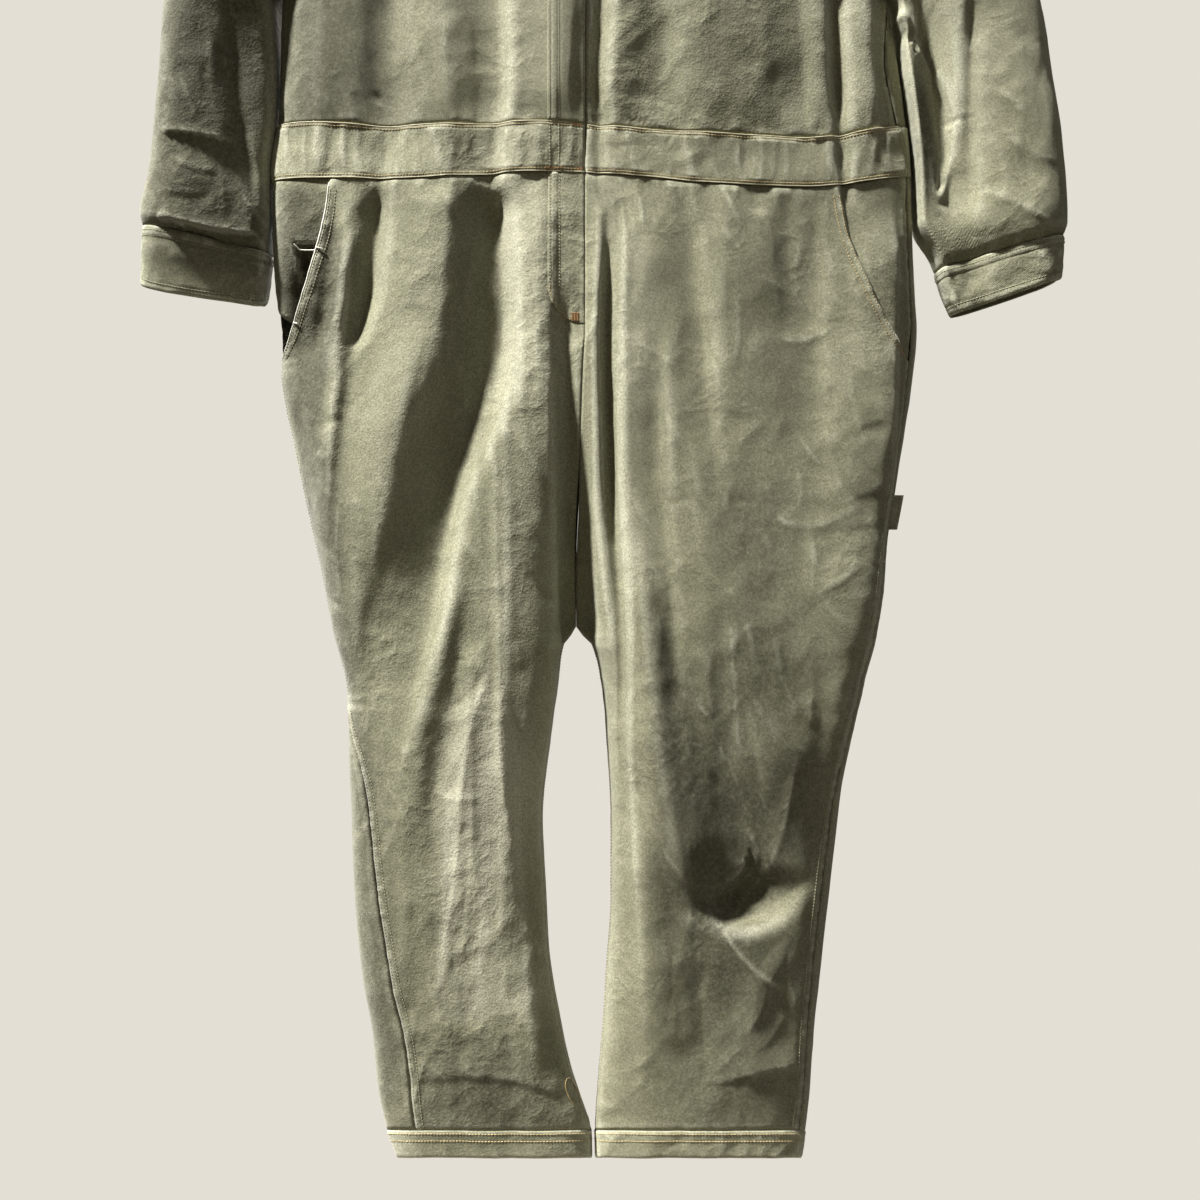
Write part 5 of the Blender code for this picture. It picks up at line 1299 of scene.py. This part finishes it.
def collar(fronts, backs):
    """A stand round the neck, and a fall that turns over it and lies above the shoulders."""
    line = np.concatenate([fronts[LEFT].points[-1, :FRONT_CORNER + 1],
                           backs[0].points[-1, BACK_CORNER - 1:0:-1],
                           backs[1].points[-1, :BACK_CORNER],
                           fronts[RIGHT].points[-1, FRONT_CORNER::-1]])
    run = run_of(line)
    line = read_at(run, line, np.linspace(0.0, run[-1], COLLAR_COLUMNS))
    away = unit((line - (CLOSURE_X, 0.0, 0.0)) * (1, 1, 0))
    up = np.array([0.0, 0.0, 1.0])
    foot = line + up * 0.5
    head = line + up * STAND_HEIGHT - away * STAND_LEAN
    stand = curved_rows([foot, (foot + head) / 2 + away * 0.6, head], STAND_ROWS)
    stand_out = grid_normals(stand, np.tile(away, (STAND_ROWS, 1, 1)))
    frontness = ease(-line[:, 1] / FRONT_NECK[0])[:, None]
    backness = ease(line[:, 1] / BACK_NECK[0])[:, None]
    sideness = 1 - frontness - backness
    crest = head + away * (FALL_TURN + CLOTH) + up * 3.0
    spread = np.sign(line[:, :1] - CLOSURE_X) * (1, 0, 0)
    tip = ease((frontness - 0.6) / 0.4)
    fall = FALL_BACK * backness + FALL_POINT[1] * (1 - TIP_SHARE) * frontness
    edge = (line + away * (FALL_SIDE * sideness) - up * fall
            + tip * (spread * FALL_POINT[0] - up * FALL_POINT[1] * TIP_SHARE))
    panels = [fronts[LEFT], fronts[RIGHT], *backs]
    inwards = np.array([0.0, 1.0, 0.0]) * (frontness - backness) - up * sideness
    lift = FALL_LIFT + FALL_ARCH * 4 * sideness * (1 - sideness)
    edge = lie_on(panels, edge, inwards, lift)
    middle = lie_on(panels, line * 0.45 + edge * 0.55, inwards, lift + FALL_ARCH)
    shoulder = (crest + middle) / 2 + away * 2.0 + up * 2.0
    layer = curved_rows([crest, shoulder, middle, edge], FALL_ROWS)
    layer_out = grid_normals(layer, np.tile(away * 0.8 + up * 0.6, (FALL_ROWS, 1, 1)))
    column_at, row_at = np.arange(COLLAR_COLUMNS), np.arange(FALL_ROWS)
    soft = 0.5 * cloud(column_at[None] * 4.0, row_at[:, None] * 4.0, 22.0, 30.0, 170)
    layer = layer + layer_out * soft[..., None]
    width = column_at * run[-1] / (COLLAR_COLUMNS - 1)
    return (Patch(stand, stand_out, np.tile(width, (STAND_ROWS, 1)), np.arange(float(STAND_ROWS))),
            Patch(layer, layer_out, np.tile(width, (FALL_ROWS, 1)), np.arange(float(FALL_ROWS))))


# ---------------------------------------------------------------- hammer loop
def hammer_loop():
    """A strip folded in a hairpin out of the right side seam, open at its head and foot."""
    turn = radians(LOOP_TURN)
    out_way = np.array([cos(turn), sin(turn), 0.0])
    front_way = np.array([sin(turn), -cos(turn), 0.0])
    reach = LOOP_REACH - LOOP_HALF
    bends = [(reach * t, front_way) for t in np.linspace(0.0, 0.94, 9)]
    for angle in np.linspace(0.0, pi, 9):
        bends.append((reach, front_way * cos(angle) + out_way * sin(angle)))
    bends.extend((reach * t, -front_way) for t in np.linspace(0.94, 0.55, 5))
    rows, outwards = [], []
    drops = np.linspace(LOOP_TOP, LOOP_FOOT, LOOP_ROWS)
    for k, drop in enumerate(drops):
        points, _, arc, seam = body_section(RIGHT, drop)
        root = read_at(arc, points, [seam])[0][:3] - front_way * (LOOP_HALF - LOOP_WALL - LIE_GAP)
        slack = 1.2 * sin(pi * k / (LOOP_ROWS - 1))
        rows.append([root + out_way * away + way * (LOOP_HALF + slack * sin(pi * min(away / reach, 1.0)))
                     for away, way in bends])
        outwards.append([way for _, way in bends])
    points, rough = np.array(rows), np.array(outwards)
    width = np.linspace(0.0, 2 * LOOP_REACH, len(bends))
    return Patch(points, grid_normals(points, rough), np.tile(width, (LOOP_ROWS, 1)), drops)


# ---------------------------------------------------------------- sewing
def add_mesh(name, points, faces, finish):
    mesh = bpy.data.meshes.new(name)
    corners = [tuple(point) for point in np.asarray(points) * MM]
    mesh.from_pydata(corners, [], [tuple(map(int, face)) for face in faces])
    mesh.shade_smooth()
    piece = bpy.data.objects.new(name, mesh)
    bpy.context.scene.collection.objects.link(piece)
    mesh.materials.append(finish)
    return piece


def add_trim(name, points, faces, finish):
    """A small sewn piece that hangs with the cloth."""
    piece = add_mesh(name, points, faces, finish)
    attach(piece, "root")


def stitches(name, runs, finish, pitch=3.3, length=2.5, thick=0.42):
    """Stitches in one thread: short rounded beads sunk into the cloth along sewing lines."""
    middles, ways, ups = [], [], []
    for points, normals in runs:
        arc = run_of(points)
        at = np.arange(pitch / 2, arc[-1], pitch)
        middles.append(read_at(arc, points, at))
        ways.append(unit(read_at(arc, np.gradient(points, axis=0), at)))
        ups.append(unit(read_at(arc, normals, at)))
    middle, way, up = np.concatenate(middles), np.concatenate(ways), np.concatenate(ups)
    across = unit(np.cross(way, up))
    middle = middle + up * thick * 0.3
    rings = []
    for place, size in ((-0.5, 0.35), (-0.3, 1.0), (0.3, 1.0), (0.5, 0.35)):
        for corner in range(4):
            angle = pi / 2 * corner
            off = (across * cos(angle) + up * sin(angle)) * thick * size
            rings.append(middle + way * (length * place) + off)
    points = np.stack(rings, axis=1).reshape(-1, 3)
    faces = [(3, 2, 1, 0), (12, 13, 14, 15)]
    for ring in range(3):
        for corner in range(4):
            a, b = ring * 4 + corner, ring * 4 + (corner + 1) % 4
            faces.append((a, b, b + 4, a + 4))
    faces = (np.array(faces)[None] + 16 * np.arange(len(middle))[:, None, None]).reshape(-1, 4)
    add_trim(name, points, faces, finish)


def tube_along(name, points, radius, finish, sides=8):
    """A closed round tube along a line, for bindings and loose threads."""
    points = np.asarray(points, float)
    way = unit(np.gradient(points, axis=0))
    across = unit(np.cross(way, (0.31, -0.9, 0.27)))
    up = np.cross(across, way)
    angles = (np.arange(sides) * 2 * pi / sides)[None, :, None]
    size = np.full(len(points), radius)
    size[[0, -1]] = radius * 0.4
    rings = (points[:, None] + size[:, None, None]
             * (across[:, None] * np.cos(angles) + up[:, None] * np.sin(angles)))
    faces = [tuple(range(sides))[::-1], tuple(range((len(points) - 1) * sides, len(points) * sides))]
    for r in range(len(points) - 1):
        for k in range(sides):
            after = (k + 1) % sides
            faces.append((r * sides + k, r * sides + after, (r + 1) * sides + after, (r + 1) * sides + k))
    add_trim(name, rings.reshape(-1, 3), faces, finish)


# ---------------------------------------------------------------- materials
def linear(code):
    """A linear colour from sRGB hex."""
    parts = [int(code[k:k + 2], 16) / 255 for k in (0, 2, 4)]
    return (*[c / 12.92 if c <= 0.04045 else ((c + 0.055) / 1.055) ** 2.4 for c in parts], 1.0)


def add_node(tree, kind, inputs=(), **settings):
    """A node of a kind, with its inputs in order or by name: values, or nodes or outputs to link."""
    made = tree.nodes.new(kind)
    for key, value in settings.items():
        setattr(made, key, value)
    for key, value in inputs.items() if isinstance(inputs, dict) else enumerate(inputs):
        if isinstance(value, bpy.types.Node):
            value = value.outputs[0]
        if isinstance(value, bpy.types.NodeSocket):
            tree.links.new(value, made.inputs[key])
        else:
            made.inputs[key].default_value = value
    return made


def new_material(name, roughness, **sockets):
    """A material with its shader, its node tree and where its points lie in the object."""
    made = bpy.data.materials.new(name)
    made.use_nodes = True
    tree = made.node_tree
    shader = tree.nodes["Principled BSDF"]
    shader.inputs["Roughness"].default_value = roughness
    for socket, value in sockets.items():
        shader.inputs[socket.replace("_", " ")].default_value = value
    return made, tree, shader, add_node(tree, "ShaderNodeTexCoord").outputs["Object"]


def scale_for(millimetres):
    """A noise's scale, per metre, for cells of a real size."""
    return 1000.0 / millimetres


def washed_cotton_twill(name, deep, plain, pale_tone, worn):
    """Cotton twill, woven and washed: matt and slightly furry, paler where it has been rubbed, with painted
    shade and painted highlights taken from its points.
    """
    made, tree, shader, where = new_material(name, 0.86, Sheen_Weight=0.12, Sheen_Roughness=0.5,
                                             Specular_IOR_Level=0.25)
    weave = add_node(tree, "ShaderNodeUVMap", uv_map="cut")
    crest = add_node(tree, "ShaderNodeAttribute", attribute_name="crest").outputs["Fac"]
    fade_and_painted_light = add_node(tree, "ShaderNodeAttribute", attribute_name="fade_and_painted_light").outputs["Fac"]
    # uneven fading, in clouds the size of a hand
    clouds = add_node(tree, "ShaderNodeTexNoise",
                      {"Vector": where, "Scale": scale_for(110), "Detail": 5.0, "Roughness": 0.6})
    uneven = add_node(tree, "ShaderNodeMath", (clouds, 0.9, -0.45), operation="MULTIPLY_ADD")
    # the uneven fading and the points' painted light and shade mix the colours: towards the deep one for
    # painted shade and deeper dye, towards the pale one for painted highlights and faded dye
    washed_and_painted_light = add_node(tree, "ShaderNodeMath", (uneven, fade_and_painted_light), operation="ADD")
    under = add_node(tree, "ShaderNodeMapRange", (washed_and_painted_light, -1.0, 0.0))
    over = add_node(tree, "ShaderNodeMapRange", (washed_and_painted_light, 0.0, 1.0))
    deep_dye_and_painted_shade = add_node(tree, "ShaderNodeMixRGB", (under, linear(deep), linear(plain)))
    body = add_node(tree, "ShaderNodeMixRGB", (over, deep_dye_and_painted_shade, linear(pale_tone)))
    # specks of lint and worn thread, a few millimetres long
    specks = add_node(tree, "ShaderNodeTexNoise",
                      {"Vector": where, "Scale": scale_for(4.5), "Detail": 4.0, "Roughness": 0.7})
    speck_share = add_node(tree, "ShaderNodeMapRange", (specks, 0.42, 0.75, 0.0, 0.22))
    dusted = add_node(tree, "ShaderNodeMixRGB", (speck_share, body, linear(pale_tone)))
    # rubbed crests of the creases
    rub = add_node(tree, "ShaderNodeMapRange", (crest, 0.1, 0.9, 0.0, 0.4))
    rubbed = add_node(tree, "ShaderNodeMixRGB", (rub, dusted, linear(worn)))
    # the mottled grain of piece-dyed yarn
    mottle = add_node(tree, "ShaderNodeTexNoise",
                      {"Vector": where, "Scale": scale_for(1.9), "Detail": 3.0, "Roughness": 0.8})
    mottle_value = add_node(tree, "ShaderNodeMapRange", (mottle, 0.34, 0.66, 0.66, 1.34))
    grained = add_node(tree, "ShaderNodeHueSaturation", {"Value": mottle_value, "Color": rubbed})
    tree.links.new(grained.outputs[0], shader.inputs["Base Color"])
    # twill lines run at 45 degrees; the real 0.6 mm is drawn at 1.3 mm so that it shows
    turned = add_node(tree, "ShaderNodeMapping", {"Vector": weave, "Rotation": (0.0, 0.0, radians(45))})
    twill = add_node(tree, "ShaderNodeTexWave",
                     {"Vector": turned, "Scale": 0.314 * scale_for(1.3), "Distortion": 1.2, "Detail": 2.0,
                      "Detail Scale": 1.5}, wave_type="BANDS", bands_direction="X")
    grain = add_node(tree, "ShaderNodeTexNoise", {"Vector": where, "Scale": scale_for(2.2), "Detail": 3.0})
    # small crumples, stronger in patches
    crumple = add_node(tree, "ShaderNodeTexNoise",
                       {"Vector": where, "Scale": scale_for(34), "Detail": 4.0, "Roughness": 0.5,
                        "Offset": 1.0, "Gain": 1.6, "Distortion": 0.15}, noise_type="RIDGED_MULTIFRACTAL")
    patches = add_node(tree, "ShaderNodeTexNoise", {"Vector": where, "Scale": scale_for(90), "Detail": 2.0})
    share = add_node(tree, "ShaderNodeMapRange", (patches, 0.40, 0.62, 0.3, 1.0))
    pressed = add_node(tree, "ShaderNodeMath", (crumple, share), operation="MULTIPLY")
    first = add_node(tree, "ShaderNodeBump",
                     {"Height": twill.outputs["Fac"], "Distance": 0.00018, "Strength": 0.6})
    second = add_node(tree, "ShaderNodeBump",
                      {"Height": grain, "Distance": 0.0006, "Strength": 0.7, "Normal": first})
    third = add_node(tree, "ShaderNodeBump",
                     {"Height": pressed, "Distance": 0.0010, "Strength": 0.7, "Normal": second})
    tree.links.new(third.outputs[0], shader.inputs["Normal"])
    return made


def spun_thread(name, colour, other):
    """Spun polyester thread, twisted: slightly glossy, with its tone changing from stitch to stitch."""
    made, tree, shader, where = new_material(name, 0.55)
    tone = add_node(tree, "ShaderNodeTexNoise", {"Vector": where, "Scale": scale_for(7), "Detail": 2.0})
    share = add_node(tree, "ShaderNodeMapRange", (tone, 0.35, 0.65))
    mixed = add_node(tree, "ShaderNodeMixRGB", (share, linear(colour), linear(other)))
    tree.links.new(mixed.outputs[0], shader.inputs["Base Color"])
    twist = add_node(tree, "ShaderNodeTexNoise", {"Vector": where, "Scale": scale_for(0.7)})
    bump = add_node(tree, "ShaderNodeBump", {"Height": twist, "Distance": 0.0002})
    tree.links.new(bump.outputs[0], shader.inputs["Normal"])
    return made


def moulded_polypropylene():
    """Black polypropylene, moulded: a satin skin with a fine sparked texture and small scuffs."""
    made, tree, shader, where = new_material("moulded_polypropylene", 0.42)
    scuffs = add_node(tree, "ShaderNodeTexNoise", {"Vector": where, "Scale": scale_for(18), "Detail": 6.0})
    tone = add_node(tree, "ShaderNodeMixRGB", (scuffs, linear("1b1c1e"), linear("33353a")))
    tree.links.new(tone.outputs[0], shader.inputs["Base Color"])
    rough = add_node(tree, "ShaderNodeMapRange", {"Value": scuffs, "To Min": 0.34, "To Max": 0.55})
    tree.links.new(rough.outputs[0], shader.inputs["Roughness"])
    sparked = add_node(tree, "ShaderNodeTexNoise", {"Vector": where, "Scale": scale_for(0.9), "Detail": 3.0})
    bump = add_node(tree, "ShaderNodeBump", {"Height": sparked, "Distance": 0.00012})
    tree.links.new(bump.outputs[0], shader.inputs["Normal"])
    return made


def painted_floor():
    """A painted floor, pale grey with faint clouds."""
    made, tree, shader, where = new_material("painted_floor", 0.7)
    tone = add_node(tree, "ShaderNodeTexNoise", {"Vector": where, "Scale": 6.0, "Detail": 4.0})
    mixed = add_node(tree, "ShaderNodeMixRGB", (tone, linear("8e8a82"), linear("96928a")))
    tree.links.new(mixed.outputs[0], shader.inputs["Base Color"])
    return made


# ---------------------------------------------------------------- light, floor and camera
CAMERA = (10.0, -1250.0, -1023.0)
FLOOR_Z = -2200.0
FLOOR_RADIUS = 800.0
FLOOR_THICK = 20.0
FLOOR_SIDES = 96
AMBIENT = 0.127
# Each sun: the way to it, its strength, how wide it looks in degrees, and its colour.
LIGHTS = [
    ("key", (-0.50, -0.22, 0.838), 12.8, 4.0, "fffefa"),
    ("back_key", (-0.50, 0.22, 0.838), 5.0, 4.0, "fffefa"),
    ("upper_right", (0.55, -0.35, 0.75), 0.35, 20.0, "f4f6ff"),
    ("behind", (0.3, 0.9, 0.45), 1.6, 40.0, "ffffff"),
]


def studio():
    """A pale floor, a pale surround, a key light from high on the left, one like it for the back, and
    two weaker lights."""
    scene = bpy.context.scene
    scene.view_settings.view_transform = "Standard"
    surround = bpy.data.worlds.new("pale_surround")
    surround.use_nodes = True
    scene.world = surround
    tree = surround.node_tree
    lit = tree.nodes["Background"]
    lit.inputs["Color"].default_value = linear("efe2c8")
    lit.inputs["Strength"].default_value = AMBIENT
    seen = add_node(tree, "ShaderNodeBackground", (linear("e4dfd5"), 1.0))
    path = add_node(tree, "ShaderNodeLightPath")
    mix = add_node(tree, "ShaderNodeMixShader", (path.outputs["Is Camera Ray"], lit, seen))
    tree.links.new(mix.outputs[0], tree.nodes["World Output"].inputs["Surface"])
    for name, towards, strength, spread, colour in LIGHTS:
        lamp = bpy.data.lights.new(name, "SUN")
        lamp.energy = strength
        lamp.angle = radians(spread)
        lamp.color = linear(colour)[:3]
        thing = bpy.data.objects.new(name, lamp)
        thing.rotation_euler = Vector(towards).to_track_quat("Z", "Y").to_euler()
        scene.collection.objects.link(thing)
    turn = np.linspace(0, 2 * pi, FLOOR_SIDES, endpoint=False)
    disc = np.stack([FLOOR_RADIUS * np.cos(turn), FLOOR_RADIUS * np.sin(turn), np.full(FLOOR_SIDES, FLOOR_Z)],
                    axis=1)
    under = disc - (0, 0, FLOOR_THICK)
    faces = [tuple(range(FLOOR_SIDES)), tuple(range(FLOOR_SIDES, 2 * FLOOR_SIDES))[::-1]]
    for k in range(FLOOR_SIDES):
        after = (k + 1) % FLOOR_SIDES
        faces.append((k, FLOOR_SIDES + k, FLOOR_SIDES + after, after))
    add_mesh("floor", np.concatenate([disc, under]), faces, painted_floor())
    lens = bpy.data.cameras.new("camera")
    lens.angle = 2 * atan(0.5)
    camera = bpy.data.objects.new("camera", lens)
    camera.location = np.array(CAMERA) * MM
    camera.rotation_euler = (radians(90), 0, 0)
    scene.collection.objects.link(camera)
    scene.camera = camera


# ---------------------------------------------------------------- the garment, dressed
def dress(name, patch, finish, node, thickness=SHELL, closed=False):
    """A shell of cloth that stands for its solid; the solid is hidden."""
    shell = sheet_mesh(name, patch, finish, thickness, closed)
    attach(shell, "root")
    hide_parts(node)


def front_end(leg, drops):
    """How far along its rows a trouser front ends."""
    return np.interp(drops, leg.levels, leg.places[:, -1])


def main():
    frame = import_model()
    studio()
    twill = washed_cotton_twill("washed_cotton_twill", "545240", "828169", "b1af9a", "c6c5b1")
    # the waistband, cuffs, hem bands and loop take a paler copy of the twill: painted light, for bands that
    # catch more of it
    bands = washed_cotton_twill("washed_cotton_twill_bands", "6c6b55", "8a8971", "b0ae97", "cac9b5")
    olive = spun_thread("olive_thread", "8f8b74", "a09c84")
    gold = spun_thread("gold_thread", "c9b183", "a08a5c")
    rust = spun_thread("rust_thread", "8a5c38", "b08850")
    pale = spun_thread("cream_binding", "e4e2d8", "d2cfc2")
    edging = spun_thread("sand_edging", "d4cdb0", "b5ac8a")

    fronts = {side: bodice_front(side) for side in (LEFT, RIGHT)}
    back, backs = bodice_back()
    dress("back_bodice", back, twill, "bodice_back")
    placket = bodice_placket()
    dress("front_placket", placket, twill, "bodice_placket", BAND_SHELL)
    stand, fall = collar(fronts, backs)
    dress("stand_of_collar", stand, twill, "collar_stand")
    dress("fall_of_collar", fall, twill, "collar_fall")
    tonal, golden, facings, legs, belts = [], [], {}, {}, {}
    for side in (LEFT, RIGHT):
        name = side_name(side)
        dress(f"{name}_bodice_front", fronts[side], twill, f"bodice_front_{name}")
        dress(f"{name}_sleeve", sleeve_patch(side, False), twill, f"sleeve_{name}",
              closed=True)
        cuff = sleeve_patch(side, True)
        dress(f"{name}_cuff", cuff, bands, f"cuff_{name}", BAND_SHELL, True)
        band = belts[side] = waistband_front(side)
        dress(f"{name}_waistband", band, bands, f"waistband_front_{name}",
              BAND_SHELL)
        leg = legs[side] = leg_front(side)
        dress(f"{name}_trouser_front", leg, twill, f"leg_front_{name}")
        dress(f"{name}_trouser_back", leg_back(side), twill, f"leg_back_{name}")
        facings[side] = pocket_facing(side)
        dress(f"{name}_pocket_facing", facings[side], twill, f"pocket_facing_{name}")
        hem = hem_band(side)
        dress(f"{name}_hem_band", hem, bands, f"hem_band_{name}",
              BAND_SHELL, True)
        every = np.arange(0.0, 1.0001, 1 / 120)
        end = float(band.places[0, -1])
        for level in (BAND_ROW, WAISTBAND - BAND_ROW):
            golden.append(run_on(band, level, 2.0 + every * (end - 4.0)))
        for part, level in (("top", 0.4), ("foot", WAISTBAND - 0.4)):
            seam, out_way = run_on(band, level, 0.6 + every * (end - 1.2))
            tube_along(f"{name}_waist_piping_{part}", seam + out_way * 0.2, PIPING, edging, 6)
        if side == LEFT:
            down = drops_between(54.0, POCKET_FOOT - 4, 4.0)
            edge, out_way = run_on(leg, down, front_end(leg, down) - 0.5)
            tube_along("left_pocket_binding", edge + out_way * 0.3, BINDING, pale)
        down = drops_between(60.0, POCKET_FOOT - 6, 4.0)
        for inside in POCKET_ROWS:
            (golden if side == RIGHT else tonal).append(run_on(leg, down, front_end(leg, down) - inside))
        low = drops_between(POCKET_FOOT + 4, HEM_BAND_TOP - 2, 6.0)
        for inside in SIDE_SEAM_ROWS:
            tonal.append(run_on(leg, low, front_end(leg, low) - inside))
        inner = drops_between(CROTCH + 12, HEM_BAND_TOP - 2, 6.0)
        for inside in INSEAM_ROWS:
            tonal.append(run_on(leg, inner, inside))
        for below in HEM_ROWS:
            golden.append(run_on(hem, HEM_BAND_TOP + below, every * float(hem.places[0, -1])))
        rings = np.linspace(0, 359.9, 150) % 360
        for row in CUFF_ROWS[side]:
            tonal.append(run_on(cuff, row, rings))
    # short threads at the left pocket: one on its facing, two on the edge of the front
    mouth = facings[LEFT].places[:, 0] + FACING_LAP
    for name, level, reach in POCKET_THREADS:
        if reach > 0:
            held_by, lift = facings[LEFT], 9.0
            start = np.interp(level, held_by.levels, mouth)
        else:
            held_by, lift = legs[LEFT], 1.0
            start = front_end(held_by, level) - 0.3
        thread, out_way = run_on(held_by, level + np.linspace(0.0, 1.5, 12),
                                 start + np.linspace(0.0, reach, 12))
        tube_along(name, thread + out_way * lift, SHORT_THREAD, pale)
    dress("back_waistband", waistband_back(), bands, "waistband_back", BAND_SHELL)
    fly = fly_placket()
    dress("fly_cover", fly, twill, "fly_placket", BAND_SHELL)
    dress("tool_loop", hammer_loop(), bands, "hammer_loop", LOOP_SHELL)
    up = np.linspace(1.0, len(placket.levels) - 2.0, 150)
    straight = drops_between(WAISTBAND + 2, FLY_FOOT - FLY_CURVE, 5.0)
    for place in PLACKET_ROWS:
        tonal.append(run_on(placket, up, place))
        tonal.append(run_on(fly, straight, place - 0.4))
        tonal.append(run_on(belts[LEFT], np.linspace(2.5, WAISTBAND - 2.5, 12), place))
    curve = np.linspace(FLY_FOOT - FLY_CURVE, FLY_FOOT - 1.2, 24)
    golden.append(run_on(fly, curve, fly_width(curve) - 2.0))
    # bars of rust thread end the fly's curve, hold the band's end and close the right pocket's foot
    bars = [run_on(fly, drop, np.linspace(6.0, 14.0, 5)) for drop in np.arange(186.0, 193.5, 0.9)]
    for levels, start, end, count in BAND_BARS:
        bars += [run_on(belts[LEFT], level, np.linspace(start, end, count)) for level in levels]
    for drop in np.arange(POCKET_FOOT - 18.0, POCKET_FOOT - 4.0, 2.4):
        bars.append(run_on(legs[RIGHT], drop, front_end(legs[RIGHT], drop) - np.linspace(1.0, 7.0, 4)))
    round_it = np.linspace(-2.5, 2.7, 30)
    loose, out_way = run_on(legs[LEFT], 984.0 - 16.0 * np.cos(round_it), 20.0 + 8.0 * np.sin(round_it))
    tube_along("loose_hem_thread", loose + out_way * 0.8, LOOSE_THREAD, gold)
    stitches("rust_stitches", bars, rust, pitch=2.6, thick=0.36)
    stitches("tonal_stitches", tonal, olive)
    stitches("gold_stitches", golden, gold)
    if "hanger" in frame["nodes"]:
        bpy.data.objects["hanger"].material_slots[0].material = moulded_polypropylene()


main()
